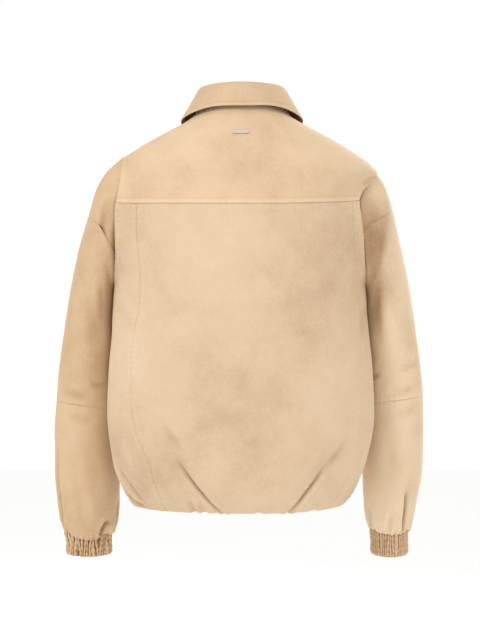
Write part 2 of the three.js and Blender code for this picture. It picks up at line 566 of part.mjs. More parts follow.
// A piece of sleeve between two lines round it, each given as its distance down the sleeve at an angle.
function sleevePiece({ side, angles, from, to, shares, edges, round }) {
  const cells = shares.map((share) =>
    angles.map((angle) => {
      const key = mix(from(angle), to(angle), share);
      const atEdge = armholeNormal(side, Math.acos(Math.cos(angle)), Math.sin(angle) < 0 ? -1 : 1);
      const normal = atEdge.lerp(sleeveNormal(side, angle, key), smooth(key / EDGE_BLEND)).normalize();
      const outer = plainSleeve(side, angle, key).addScaledVector(normal, -sleeveFoldDepth(side, angle, key));
      return { outer, inner: outer.clone().addScaledVector(normal, -WALL) };
    }),
  );
  const outer = trimEdges(cells.map((r) => r.map((c) => c.outer)), edges);
  const inner = trimEdges(cells.map((r) => r.map((c) => c.inner)), edges);
  return wallBetween(outer, inner, round);
}

function buildSleeve(side) {
  const elbow = sleeveKey(side, "elbow");
  const end = sleeve[side].length;
  const angles = ringAngles(side);
  const seam = (angle) => capEnd(side, angle);
  const capAngles = angles.map((a) => (a > Math.PI ? a - 2 * Math.PI : a)).filter((a) => seam(a) > 0);
  return {
    [`sleeve_cap_${side}`]: sleevePiece({
      side, angles: capAngles.sort((a, b) => a - b), from: () => 0, to: seam, shares: steps(0, 1, 5),
      edges: ["first row", "last row"], round: false,
    }),
    [`sleeve_upper_${side}`]: sleevePiece({
      side, angles, from: seam, to: () => elbow, shares: UPPER_SHARES, edges: ["first row", "last row"], round: true,
    }),
    [`sleeve_lower_${side}`]: sleevePiece({
      side, angles, from: () => elbow, to: () => end, shares: LOWER_SHARES, edges: ["first row"], round: true,
    }),
  };
}

// A gathered elastic tube: waves on its outer points over a plain inside.
function buildCuff(side) {
  const { top, bottom, gathers } = CUFFS[side];
  const at = sleeve[side].at;
  const end = sleeve[side].length;
  const wide = (at.outX(end) - at.inX(end)) / 2 - WALL - SEAT;
  const deep = at.depth(end) - WALL - SEAT;
  const centre = new THREE.Vector2((SIDES[side] * (at.outX(end) + at.inX(end))) / 2, at.y(end));
  const columns = gathers * 2;
  const ring = (z, grow, wave) =>
    Array.from({ length: columns }, (_, j) => {
      const angle = (j / columns) * 2 * Math.PI;
      const out = grow + (j % 2 === 0 ? 0 : -wave);
      return new THREE.Vector3(centre.x + (wide + out) * Math.cos(angle), centre.y + (deep + out) * Math.sin(angle), z);
    });
  const levels = [0, 0.5, 1];
  const grows = [0, wide * (CUFF_RELAX - 1), 0];
  const outer = levels.map((t, i) => ring(mix(top, bottom, t), grows[i], CUFF_WAVE));
  const inner = levels.map((t, i) => ring(mix(top, bottom, t), grows[i] - CUFF_WAVE - WALL, 0));
  return wallBetween(outer, inner, true);
}

// A point round the hem's seam, at a share of the way round from the centre back, taken in by an offset.
function bandPoint(turn, offset, drop) {
  const row = section(0);
  const angle = turn * 2 * Math.PI;
  const face = Math.cos(angle) >= 0 ? 1 : -1;
  const shareX = Math.sin(angle);
  const halfWidth = (shareX > 0 ? row.left : row.right) - offset;
  const depth = (face > 0 ? row.back - row.sideY : row.front + row.sideY) - offset;
  const top = mix(face > 0 ? row.zB : row.zF, row.zL, shareX * shareX) - SEAM_GAP;
  return new THREE.Vector3(
    Math.sign(shareX) * halfWidth * Math.abs(shareX) ** row.square,
    row.sideY + face * depth * Math.abs(Math.cos(angle)),
    top - drop * (BAND.height - BAND.sideLift * shareX * shareX),
  );
}

function buildBand() {
  const columns = BAND.gathers * 2;
  const ring = (offset, wave, drop) =>
    Array.from({ length: columns }, (_, j) => bandPoint(j / columns, offset + (j % 2 === 0 ? 0 : wave), drop));
  const levels = [0, 1];
  const outer = levels.map((t) => ring(SEAT + 3 * t, BAND.wave, t));
  const inner = levels.map((t) => ring(SEAT + 3 * t + BAND.wave + WALL, 0, t));
  return wallBetween(outer, inner, true);
}

// A point of the neck seam at an angle from the centre back, on the wearer's left for positive angles.
function neckPoint(angle) {
  const size = Math.abs(angle);
  const face = size <= 90 ? 1 : -1;
  const turn = radians(face > 0 ? size : 180 - size);
  const across = (Math.sign(angle) || 1) * (turn / (Math.PI / 2)) ** section(5).square;
  return bodyPoint(face, across, 5);
}

function foldPoint(angle) {
  const turn = radians(angle);
  const cos = Math.cos(turn);
  const { halfWidth, halfDepth, middleY, back, side, front } = FOLD_RING;
  const z = cos > 0 ? mix(side, back, cos * cos) : mix(side, front, cos * cos);
  return new THREE.Vector3(halfWidth * Math.sin(turn), middleY + halfDepth * cos, z);
}

// The body's surface above a point in plan, found by halving the station range.
function bodyAtPlan(x, y, lift) {
  const face = y >= SHOULDER_Y ? 1 : -1;
  let low = 2.2;
  let high = 5;
  for (let i = 0; i < 30; i += 1) {
    const station = (low + high) / 2;
    const row = section(station);
    const beyond = Math.abs(x) >= (x > 0 ? row.left : row.right);
    if (beyond || face * plainBody(face, acrossAt(x, row), row).y < face * y) high = station;
    else low = station;
  }
  const across = acrossAt(x, section(low));
  return plainBody(face, across, section(low)).addScaledVector(bodyNormal(face, across, low), lift);
}

// The body's surface at a given X and Z on one face.
function bodyAtHeight(face, x, z, lift) {
  let low = 2.5;
  let high = 5;
  for (let i = 0; i < 30; i += 1) {
    const station = (low + high) / 2;
    const row = section(station);
    if (plainBody(face, acrossAt(x, row), row).z > z) high = station;
    else low = station;
  }
  const across = acrossAt(x, section(low));
  return plainBody(face, across, section(low)).addScaledVector(bodyNormal(face, across, low), lift);
}

const leaf = curves(LEAF_EDGE, LEAF_EDGE.map((r) => r.angle), ["toward", "reach", "lift"]);

// The leaf's edge lies over the body, moved out from it.
function leafEdgePoint(angle) {
  const size = Math.abs(angle);
  const turn = radians(leaf.toward(size));
  const reach = leaf.reach(size);
  const x = (Math.sign(angle) || 1) * reach * Math.sin(turn);
  return bodyAtPlan(x, FOLD_RING.middleY + reach * Math.cos(turn), leaf.lift(size));
}

function wallNormals(grid) {
  return grid.map((row, i) =>
    row.map((_, j) => {
      const a = grid[i][Math.min(j + 1, row.length - 1)].clone().sub(grid[i][Math.max(j - 1, 0)]);
      const b = grid[Math.min(i + 1, grid.length - 1)][j].clone().sub(grid[Math.max(i - 1, 0)][j]);
      return a.cross(b).normalize();
    }),
  );
}

// A wall laid on one side of a grid: side 1 or -1 along its own normals.
function wallBeside(grid, thickness, side, edges) {
  const normals = wallNormals(grid);
  const other = grid.map((row, i) => row.map((p, j) => p.clone().addScaledVector(normals[i][j], side * thickness)));
  return wallBetween(trimEdges(grid, edges), trimEdges(other, edges), false);
}

function buildCollar() {
  const angles = steps(-COLLAR_FRONT_ANGLE, COLLAR_FRONT_ANGLE, COLLAR_COLUMNS);
  const standRows = [0, 0.5, 1];
  const stand = standRows.map((t) =>
    angles.map((angle) => {
      const neck = neckPoint(angle).add(new THREE.Vector3(0, 0, SEAM_GAP));
      const point = neck.lerp(foldPoint(angle), t);
      return point;
    }),
  );
  const leafRows = [0, 0.12, 0.35, 0.6, 0.8, 1];
  const leafGrid = leafRows.map((t) =>
    angles.map((angle) => {
      const outward = new THREE.Vector3(Math.sin(radians(angle)), Math.cos(radians(angle)), 0.4).normalize();
      const fold = foldPoint(angle).addScaledVector(outward, SEAM_GAP);
      const swell = LEAF_SWELL * Math.sin(Math.PI * t ** 0.6);
      return fold.lerp(leafEdgePoint(angle), t).addScaledVector(outward, swell);
    }),
  );
  return {
    collar_stand: wallBeside(stand, COLLAR_WALL, 1, ["first row", "last row"]),
    collar_leaf: wallBeside(leafGrid, COLLAR_WALL, 1, []),
  };
}

// Local axes of the zip at a station: across, up along it and out of it.
function zipFrame(station) {
  const d = TABLE_SAMPLES.v;
  const at = (s) => plainBody(-1, 0, section(s));
  const origin = at(station);
  const across = new THREE.Vector3(1, 0, 0);
  const up = at(Math.min(station + d, 5)).sub(at(station - d)).normalize();
  const out = across.clone().cross(up).normalize();
  return { origin, across, up, out };
}

function zipStationAt(z) {
  let low = 1;
  let high = 5;
  for (let i = 0; i < 30; i += 1) {
    const middle = (low + high) / 2;
    if (section(middle).zF > z) high = middle;
    else low = middle;
  }
  return low;
}

function buildZip() {
  const back = WALL + SEAM_GAP;
  const { tapeHalf, tapeThick, chainHalf } = ZIP;
  const outline = [
    [-tapeHalf, -back - tapeThick], [tapeHalf, -back - tapeThick], [tapeHalf, -back], [chainHalf, -back],
    [chainHalf, -0.2], [-chainHalf, -0.2], [-chainHalf, -back], [-tapeHalf, -back],
  ];
  const caps = THREE.ShapeUtils.triangulateShape(outline.map(([x, y]) => new THREE.Vector2(x, y)), []);
  const top = zipStationAt(ZIP.top);
  const stations = [...FRONT_STATIONS.filter((s) => s > 0 && s < top), top];
  const points = stations.flatMap((station) => {
    const { origin, across, out } = zipFrame(station);
    return outline.map(([x, depth]) => origin.clone().addScaledVector(across, x).addScaledVector(out, depth));
  });
  const faces = [];
  const n = outline.length;
  for (let i = 0; i < stations.length - 1; i += 1) {
    for (let j = 0; j < n; j += 1) {
      const a = i * n + j;
      const b = i * n + ((j + 1) % n);
      faces.push(a, b, b + n, a, b + n, a + n);
    }
  }
  const lastRing = (stations.length - 1) * n;
  caps.forEach(([a, b, c]) => faces.push(c, b, a, a + lastRing, b + lastRing, c + lastRing));
  return facingOut(points, faces);
}

function solidOf(geometry) {
  const plain = geometry.index ? geometry.toNonIndexed() : geometry;
  const source = plain.attributes.position;
  const seen = new Map();
  const vertices = [];
  const triangles = [];
  for (let i = 0; i < source.count; i += 1) {
    const point = [source.getX(i), source.getY(i), source.getZ(i)].map((v) => Math.round(v * 1e4) / 1e4);
    const key = point.join();
    if (!seen.has(key)) {
      seen.set(key, vertices.length / 3);
      vertices.push(...point);
    }
    triangles.push(seen.get(key));
  }
  const mesh = new wasm.Mesh({
    numProp: 3, vertProperties: new Float32Array(vertices), triVerts: new Uint32Array(triangles),
  });
  return new wasm.Manifold(mesh);
}

function geometryOf(solid) {
  const mesh = solid.getMesh();
  const geometry = new THREE.BufferGeometry();
  geometry.setAttribute("position", new THREE.BufferAttribute(Float32Array.from(mesh.vertProperties), 3));
  geometry.setIndex(new THREE.BufferAttribute(Uint32Array.from(mesh.triVerts), 1));
  return geometry;
}

// The slider lies on the chain: a plate with an arch over it that holds the pull.
function buildSlider(frame) {
  const { halfWidth, halfLength, plate, arch, archReach, archRoof } = SLIDER;
  const roofInside = plate + 2 * (PULL.rail + PULL_CLEARANCE);
  const plateBox = new THREE.BoxGeometry(2 * halfWidth, 2 * halfLength, plate).translate(0, 0, plate / 2);
  const archBox = new THREE.BoxGeometry(arch, 2 * archReach, roofInside + archRoof - plate / 2)
    .translate(0, 0, (roofInside + archRoof + plate / 2) / 2);
  const hollow = new THREE.BoxGeometry(2 * arch, 2 * (archReach - archRoof), roofInside - plate)
    .translate(0, 0, (roofInside + plate) / 2);
  const solid = solidOf(plateBox).add(solidOf(archBox).subtract(solidOf(hollow)));
  return geometryOf(solid).applyMatrix4(frame);
}

// The pull hangs from a round rail under the arch, whose axis is the hinge.
function buildPull(frame, hinge) {
  const { halfWidth, length, thick, rail, eyeHalf, eyeLength } = PULL;
  const shape = new THREE.Shape();
  shape.moveTo(-halfWidth, 0);
  shape.lineTo(-halfWidth, -length + halfWidth);
  shape.absarc(0, -length + halfWidth, halfWidth, Math.PI, 2 * Math.PI, false);
  shape.lineTo(halfWidth, 0);
  const eye = new THREE.Path();
  eye.moveTo(-eyeHalf, -rail);
  eye.lineTo(-eyeHalf, -eyeLength);
  eye.lineTo(eyeHalf, -eyeLength);
  eye.lineTo(eyeHalf, -rail);
  shape.holes.push(eye);
  const tab = new THREE.ExtrudeGeometry(shape, { depth: thick, bevelEnabled: false, curveSegments: 8 })
    .translate(0, 0, -thick / 2);
  const bar = new THREE.CylinderGeometry(rail, rail, 2 * halfWidth, 12).rotateZ(Math.PI / 2);
  const solid = solidOf(tab).add(solidOf(bar));
  return geometryOf(solid).applyMatrix4(new THREE.Matrix4().makeTranslation(...hinge.toArray())).applyMatrix4(frame);
}

function buildZipParts() {
  const { origin, across, up, out } = zipFrame(zipStationAt(SLIDER.height));
  const frame = new THREE.Matrix4().makeBasis(across, up, out).setPosition(origin.addScaledVector(out, 0.1));
  const hinge = new THREE.Vector3(0, SLIDER.archReach - 2.2, SLIDER.plate + PULL.rail + PULL_CLEARANCE);
  return {
    zip: buildZip(),
    zip_slider: buildSlider(frame),
    zip_pull: buildPull(frame, hinge),
  };
}

function buildBar() {
  const on = bodyAtHeight(1, BAR.x, BAR.z, SEAM_GAP + 0.1);
  const surface = bodyAtHeight(1, BAR.x, BAR.z, 0);
  const out = on.clone().sub(surface).normalize();
  const across = new THREE.Vector3(-1, 0, 0);
  const up = out.clone().cross(across).normalize();
  const frame = new THREE.Matrix4().makeBasis(across, up, out).setPosition(on);
  return new THREE.BoxGeometry(BAR.width, BAR.height, BAR.thick).translate(0, 0, BAR.thick / 2).applyMatrix4(frame);
}

function finishOf(name) {
  if (name === "zip") return TAPE;
  if (name.startsWith("zip_") || name === "neck_bar") return METAL;
  return SUEDE;
}

const pieces = {
  ...buildBody(),
  ...buildSleeve("left"),
  ...buildSleeve("right"),
  cuff_left: buildCuff("left"),
  cuff_right: buildCuff("right"),
  hem_band: buildBand(),
  ...buildCollar(),
  ...buildZipParts(),
  neck_bar: buildBar(),
};

const jacket = new THREE.Group();
for (const [name, geometry] of Object.entries(pieces)) {
  const mesh = new THREE.Mesh(geometry, finishOf(name));
  mesh.name = name;
  jacket.add(mesh);
}

export default jacket;
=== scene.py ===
# %% [markdown]
# A suede blouson jacket, filled out as it is worn and seen from behind. The real jacket is a set of thin
# suede panels sewn edge to edge, gathered at the hem and wrists by elastic. Each panel here is a fine grid of
# points laid on the form of the imported model. It is pushed in and out by folds given one by one and then
# given the thickness of suede. A cloth simulation could make folds too, but a grid keeps full control of
# every crease and keeps the mesh clean.

import json
import math

import bmesh
import bpy
import numpy as np
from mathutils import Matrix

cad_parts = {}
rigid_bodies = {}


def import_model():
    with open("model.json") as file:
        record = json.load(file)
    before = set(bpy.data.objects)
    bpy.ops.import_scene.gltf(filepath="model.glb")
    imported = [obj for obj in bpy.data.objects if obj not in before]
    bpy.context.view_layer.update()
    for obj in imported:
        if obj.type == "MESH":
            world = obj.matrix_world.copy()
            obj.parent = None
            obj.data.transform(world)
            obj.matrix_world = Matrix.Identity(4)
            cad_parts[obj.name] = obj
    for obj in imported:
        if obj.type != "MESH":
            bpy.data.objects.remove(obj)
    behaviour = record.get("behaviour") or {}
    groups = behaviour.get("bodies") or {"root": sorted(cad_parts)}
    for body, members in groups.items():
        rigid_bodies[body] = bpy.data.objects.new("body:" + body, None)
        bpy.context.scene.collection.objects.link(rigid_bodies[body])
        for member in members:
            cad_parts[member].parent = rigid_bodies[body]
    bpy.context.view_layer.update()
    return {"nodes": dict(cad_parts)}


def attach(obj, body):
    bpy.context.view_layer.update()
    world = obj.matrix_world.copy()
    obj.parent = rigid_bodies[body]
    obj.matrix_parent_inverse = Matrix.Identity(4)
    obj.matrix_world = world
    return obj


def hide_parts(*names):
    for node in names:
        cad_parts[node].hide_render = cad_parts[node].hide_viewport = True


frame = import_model()
print("pieces in the packed model:", len(frame["nodes"]))

# %% [markdown]
# Cloth is shaped by smooth lines through a few measured values, so the first helpers turn short tables into
# curves. The curve used here never swings past two neighbours, which keeps a sleeve or a hem free of false
# bumps. All sizes are in millimetres until a mesh is made.

# %% Smooth steps and curves
MM = 0.001
SIDES = {"left": 1, "right": -1}


def mix(a, b, t):
    return a + (b - a) * t


def smooth(x):
    x = np.clip(x, 0, 1)
    return x * x * (3 - 2 * x)


def bell(x):
    return np.exp(-x * x)


def curve(keys, values):
    keys = np.array(keys, float)
    values = np.array(values, float)
    step = np.diff(keys)
    rise = np.diff(values) / step
    slope = np.concatenate([rise[:1], np.zeros(len(keys) - 2), rise[-1:]])
    for i in range(1, len(keys) - 1):
        if rise[i - 1] * rise[i] > 0:
            a = 2 * step[i] + step[i - 1]
            b = step[i] + 2 * step[i - 1]
            slope[i] = (a + b) / (a / rise[i - 1] + b / rise[i])

    def at(x):
        x = np.asarray(x, float)
        i = np.clip(np.searchsorted(keys, x, side="left") - 1, 0, len(step) - 1)
        t = np.clip((x - keys[i]) / step[i], 0, 1)
        start = (2 * t**3 - 3 * t**2 + 1) * values[i] + (t**3 - 2 * t**2 + t) * step[i] * slope[i]
        end = (3 * t**2 - 2 * t**3) * values[i + 1] + (t**3 - t**2) * step[i] * slope[i + 1]
        return start + end

    return at


def columns_of(table, names):
    return {name: [row[i] for row in table] for i, name in enumerate(names)}


def distances(a, b):
    steps = np.hypot(np.diff(a), np.diff(b))
    return np.concatenate([[0], np.cumsum(steps)])


# %% [markdown]
# The body is a soft oval tube that swells over the hips, rolls under at the hem and is tucked up to the
# elastic. Its sections run from the hem seam (station 0) to the armpit (2), up the armhole (3 is the yoke
# seam, 4 the shoulder) and along the shoulder to the neck (5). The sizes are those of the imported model, so
# the cloth lies on it.

# %% Sizes of the body
BODY_COLUMNS = ("zL", "zR", "zB", "zF", "left", "right", "back", "front", "sideY")
BODY = [
    (-530, -531, -529, -529, 143, 139, 92, 88, 4),
    (-550, -551, -554, -552, 148, 144, 95, 91, 4),
    (-570, -568, -571, -569, 157, 151, 106, 101, 4),
    (-559, -558, -560, -558, 170, 162, 121, 115, 5),
    (-539, -538, -536, -534, 180.5, 172, 131, 125, 7),
    (-499, -499, -494, -492, 193.5, 186, 139, 133, 10),
    (-432, -432, -428, -428, 201, 197, 142, 137, 12),
    (-370, -370, -367, -367, 198.6, 195, 139, 135, 10),
    (-305, -305, -305, -305, 193.5, 189, 134, 131, 4),
    (-240, -240, -240, -240, 192, 185.5, 128, 128, -6),
]
EDGE_LEFT = [
    (-240, 192), (-215, 189), (-190, 187), (-134, 187), (-119.5, 185.5), (-101.5, 182.5), (-80, 180),
    (-63, 180.5), (-50, 181.5), (-37.5, 160), (-25.5, 138.5), (-13.5, 115.5), (-1.5, 92), (8, 78), (17, 69),
]
EDGE_RIGHT = [
    (-240, 185.5), (-178, 179.5), (-136, 174.5), (-116, 173), (-105, 178), (-90, 190), (-74.5, 203),
    (-61.5, 193.5), (-49.5, 177.5), (-37.5, 159), (-25.5, 139), (-13.5, 115.5), (-1.5, 93), (8, 78), (17, 69),
]
BACK_DEPTH = [
    (-240, 128), (-190, 124.5), (-150, 121), (-115, 117), (-80, 112), (-50, 106), (-20, 95), (5, 82),
    (25, 69), (37, 60),
]
FRONT_DEPTH = [
    (-240, 128), (-190, 126), (-150, 120), (-115, 112), (-95, 105), (-70, 93), (-50, 83), (-38, 76),
]
LOOP_DEPTH = {1: 64, -1: 60}
LOOP_TOP = {"left": -50, "right": -74.5}
LOOP_BOTTOM = -240
YOKE_SEAM = {"left": -119.5, "right": -116}
YOKE_DIP = 7
FRONT_DROP = 24
NECK = {"side": 17, "back": 37, "front": -38}
LOOP_REACH = 0.65
SQUARENESS = 0.8
SHOULDER_Y = BODY[-1][-1]

body_columns = columns_of(BODY, BODY_COLUMNS)
body_length = distances(body_columns["back"], body_columns["zB"])
ARMPIT_LENGTH = body_length[-1]
HEM_LENGTH = body_length[2]
body_curves = {name: curve(body_length, values) for name, values in body_columns.items()}
edge_x = {"left": curve(*zip(*EDGE_LEFT)), "right": curve(*zip(*EDGE_RIGHT))}
back_depth = curve(*zip(*BACK_DEPTH))
front_depth = curve(*zip(*FRONT_DEPTH))
length_at_height = curve(body_columns["zB"][2:], body_length[2:])
print("cloth from the bottom of the hem to the armpit, mm:", round(ARMPIT_LENGTH - HEM_LENGTH))


# %% The form of the body
def loop_angle(side, station):
    middle = (LOOP_TOP[side] + LOOP_BOTTOM) / 2
    half = (LOOP_TOP[side] - LOOP_BOTTOM) / 2
    at_seam = math.acos((YOKE_SEAM[side] - middle) / half)
    angle = np.where(station <= 3, mix(math.pi, at_seam, station - 2), mix(at_seam, 0, station - 3))
    return angle, middle + half * np.cos(angle)


def section(station):
    s = np.asarray(station, float)
    low = {name: at(ARMPIT_LENGTH * np.minimum(s, 2) / 2) for name, at in body_curves.items()}
    angle_left, loop_left = loop_angle("left", np.clip(s, 2, 4))
    angle_right, loop_right = loop_angle("right", np.clip(s, 2, 4))
    middle = (loop_left + loop_right) / 2
    t = np.clip(s - 4, 0, 1)
    high = s > 4
    left_z = np.where(high, mix(LOOP_TOP["left"], NECK["side"], t), loop_left)
    right_z = np.where(high, mix(LOOP_TOP["right"], NECK["side"], t), loop_right)
    back_z = np.where(high, mix(middle - YOKE_DIP, NECK["back"], t), middle - YOKE_DIP * smooth(s - 2))
    front_z = np.where(high, mix(middle - FRONT_DROP, NECK["front"], t), middle - FRONT_DROP * smooth(s - 3))
    upper = {
        "zL": left_z, "zR": right_z, "zB": back_z, "zF": front_z,
        "left": edge_x["left"](left_z), "right": edge_x["right"](right_z),
        "back": back_depth(back_z), "front": front_depth(front_z),
        "sideY": np.full(s.shape, float(SHOULDER_Y)),
    }
    row = {name: np.where(s <= 2, low[name], upper[name]) for name in upper}
    open_part = (s > 2) & (s <= 4)
    row["loopL"] = np.where(open_part, np.sin(angle_left), 0)
    row["loopR"] = np.where(open_part, np.sin(angle_right), 0)
    row["square"] = mix(SQUARENESS, 1, t)
    return row


def plain_body(face, across, row):
    turn = (math.pi / 2) * np.abs(across) ** (1 / row["square"])
    share = np.sin(turn)
    on_left = across > 0
    half_width = np.where(on_left, row["left"], row["right"])
    side_z = np.where(on_left, row["zL"], row["zR"])
    open_part = np.where(on_left, row["loopL"], row["loopR"])
    depth = row["back"] - row["sideY"] if face > 0 else row["front"] + row["sideY"]
    near_edge = np.maximum(0, 1 - np.cos(turn) / LOOP_REACH) ** (1.5 + 4 * (1 - open_part) ** 2)
    middle_z = row["zB"] if face > 0 else row["zF"]
    x = np.sign(across) * half_width * share ** row["square"]
    y = row["sideY"] + face * (depth * np.cos(turn) + open_part * LOOP_DEPTH[face] * near_edge)
    return np.stack([x, y, mix(middle_z, side_z, share * share)], axis=-1)


def across_at(x, row):
    share = np.clip(np.abs(x) / np.where(x > 0, row["left"], row["right"]), 0, 1)
    turn = np.arcsin(share ** (1 / row["square"]))
    return np.sign(x) * (turn / (math.pi / 2)) ** row["square"]


def cloth_height(face, station):
    s = np.asarray(station, float)
    row = section(s)
    z = row["zB"] if face > 0 else row["zF"]
    return np.where(s <= 2, ARMPIT_LENGTH * s / 2, ARMPIT_LENGTH + z - LOOP_BOTTOM)


def height_up_cloth(z):
    bottom = body_columns["zB"][2]
    z = np.asarray(z, float)
    inside = length_at_height(np.clip(z, bottom, LOOP_BOTTOM))
    return inside + np.minimum(z - bottom, 0) + np.maximum(z - LOOP_BOTTOM, 0)


# %% [markdown]
# Suede folds softly: a crease is a trough with a steep wall on one side and a lip that leans over it.
# Simulated cloth would crumple in places the photograph does not show, so each crease is drawn one by one as
# a short curved path with its own length, depth and width. A few broad swells keep the flat parts from
# looking ironed.

# %% Creases drawn one by one
CREASE_COLUMNS = ("top", "bend", "foot", "depth", "width", "run_in", "run_out", "over")


def crease_path(top, bend, foot, count=22):
    t = np.linspace(0, 1, count)[:, None]
    top, bend, foot = (np.array(p, float) for p in (top, bend, foot))
    return (1 - t) ** 2 * top + 2 * t * (1 - t) * bend + t**2 * foot


def nearest_on_path(path, u, v):
    best = np.full(u.shape, np.inf)
    along = np.zeros(u.shape)
    side = np.zeros(u.shape)
    way_u = np.zeros(u.shape)
    way_v = np.zeros(u.shape)
    last = len(path) - 1
    for i in range(last):
        a = path[i]
        du, dv = path[i + 1] - a
        size = du * du + dv * dv
        t = np.clip(((u - a[0]) * du + (v - a[1]) * dv) / size, 0, 1)
        off_u = u - a[0] - t * du
        off_v = v - a[1] - t * dv
        gap = off_u**2 + off_v**2
        closer = gap < best
        best = np.where(closer, gap, best)
        along = np.where(closer, (i + t) / last, along)
        long = math.sqrt(size)
        side = np.where(closer, np.sign(off_u * dv - off_v * du), side)
        way_u = np.where(closer, dv / long, way_u)
        way_v = np.where(closer, -du / long, way_v)
    return np.sqrt(best) * side, along, way_u, way_v


def crease_field(u, v, creases, to_v):
    depth = np.zeros(u.shape)
    pull_u = np.zeros(u.shape)
    pull_v = np.zeros(u.shape)
    for values in creases:
        c = dict(zip(CREASE_COLUMNS, values))
        points = [(p[0], float(to_v(p[1]))) for p in (c["top"], c["bend"], c["foot"])]
        off, along, way_u, way_v = nearest_on_path(crease_path(*points), u, v)
        strength = smooth(along / c["run_in"]) * smooth((1 - along) / c["run_out"])
        steep = np.where(off * c["over"] > 0, 1 - 0.6 * abs(c["over"]), 1 + 0.5 * abs(c["over"]))
        here = bell(off / (c["width"] * steep))
        lip = bell((np.abs(off) - 1.7 * c["width"] * steep) / (c["width"] * steep))
        depth += c["depth"] * strength * (here - 0.22 * lip)
        on_lip = bell((off * np.sign(c["over"]) - 1.3 * c["width"] * steep) / c["width"])
        pull = 0.6 * c["over"] * c["depth"] * strength * on_lip
        pull_u -= pull * way_u
        pull_v -= pull * way_v
    return depth, pull_u, pull_v


def swell(u, v, size, seed):
    a = np.sin(u / size + 0.8 * np.sin(v / (1.9 * size) + seed) + 1.7 * seed)
    b = np.sin(v / (1.3 * size) + 0.9 * np.sin(u / (2.3 * size) + 2.1 * seed) + 0.6 * seed)
    return 0.5 * (a * b + 0.5 * np.sin((u + v) / (1.7 * size) + seed))


def swells(u, v, waves):
    lowered = np.zeros(np.broadcast(u, v).shape)
    for height, size, seed in waves:
        lowered -= height * swell(u, v, size, seed)
    return lowered


# %% [markdown]
# A panel's edges are turned under and stitched, so a seam shows as a fine groove with a soft ridge beside
# it. The grid is finer near the seams than in the middle, so the groove is real shape and not only shading.

# %% Grids that are finer at their seams
EDGE_CELLS = np.array([0, 0.8, 1.7, 2.8, 4.2, 6.2, 8.8])
GROOVE = {"depth": 0.9, "width": 1.4, "ridge": 0.35, "ridge_at": 5.5, "ridge_width": 3}
PUCKER = {"depth": 0.28, "pitch": 8.5, "at": 3, "reach": 11}


def spacing(length, step, fine_start=True, fine_end=True):
    start = EDGE_CELLS if fine_start else EDGE_CELLS[:1]
    end = length - (EDGE_CELLS if fine_end else EDGE_CELLS[:1])[::-1]
    count = max(2, round((end[0] - start[-1]) / step))
    middle = np.linspace(start[-1], end[0], count + 1)[1:-1]
    return np.concatenate([start, middle, end]) / length


def line_lengths(points, axis):
    steps = np.linalg.norm(np.diff(points, axis=axis), axis=-1)
    zero = np.zeros_like(np.take(steps, [0], axis=axis))
    return np.concatenate([zero, np.cumsum(steps, axis=axis)], axis=axis)


def slopes(points, closed):
    down = np.gradient(points, axis=0)
    if not closed:
        return down, np.gradient(points, axis=1)
    wrapped = np.concatenate([points[:, -1:], points, points[:, :1]], axis=1)
    return down, np.gradient(wrapped, axis=1)[:, 1:-1]


def unit(vectors):
    return vectors / np.maximum(np.linalg.norm(vectors, axis=-1, keepdims=True), 1e-9)


def grid_normals(points, facing, closed=False):
    down, across = slopes(points, closed)
    return unit(facing * np.cross(down, across))


def seam_shape(distance, along, seed, strength):
    groove = GROOVE["depth"] * bell(distance / GROOVE["width"])
    ridge = GROOVE["ridge"] * bell((distance - GROOVE["ridge_at"]) / GROOVE["ridge_width"])
    wave = np.sin(along / PUCKER["pitch"] * 2 * math.pi + 1.9 * np.sin(along / 31 + seed) + seed)
    swing = 0.6 + 0.4 * np.sin(along / 47 + seed)
    pucker = PUCKER["depth"] * wave * bell((distance - PUCKER["at"]) / PUCKER["reach"]) * swing
    return strength * (groove - ridge) + pucker * (0.4 + 0.6 * strength)


# %% [markdown]
# Every panel goes through the same steps: lay the grid, press in the creases, turn the seams under, and
# give the sheet its thickness. The shell has a rounded rim, because a cut or turned edge of suede is never
# a sharp line. The mesh keeps the cloth's own lengths as its UV map, in metres, so a weave or a nap would
# lie along it.

# %% From a grid of points to a sheet of suede
SUEDE_THICK = 1.6
SEAM_GAP = 0.3
RIM_BULGE = 0.4
RIM_PRESSED = 0.28
RIM_ANGLES = np.radians([40, 90, 140])
INSIDE_RUB = -0.5
sewn = {}


def border_of(rows, columns):
    first = [(0, j) for j in range(columns)]
    last_column = [(i, columns - 1) for i in range(1, rows)]
    last = [(rows - 1, j) for j in range(columns - 2, -1, -1)]
    first_column = [(i, 0) for i in range(rows - 2, 0, -1)]
    return [first + last_column + last + first_column]


def round_borders_of(rows, columns):
    return [[(0, j) for j in range(columns)], [(rows - 1, j) for j in range(columns)]]


def trim(points, edges):
    made = points.copy()
    room = 0.3 * np.linalg.norm(points[-1] - points[0], axis=-1)
    pull = SEAM_GAP / 2 + RIM_BULGE - RIM_PRESSED
    if "first row" in edges:
        made[0] += unit(points[1] - points[0]) * np.minimum(pull, room)[:, None]
    if "last row" in edges:
        made[-1] += unit(points[-2] - points[-1]) * np.minimum(pull, room)[:, None]
    if "first column" in edges:
        made[:, 0] += unit(made[:, 1] - made[:, 0]) * pull
    if "last column" in edges:
        made[:, -1] += unit(made[:, -2] - made[:, -1]) * pull
    return made


def outward_of(points, closed):
    down, across = slopes(points, closed)
    out = np.zeros_like(points)
    out[0] -= unit(down[0])
    out[-1] += unit(down[-1])
    if not closed:
        out[:, 0] -= unit(across[:, 0])
        out[:, -1] += unit(across[:, -1])
    return unit(out)


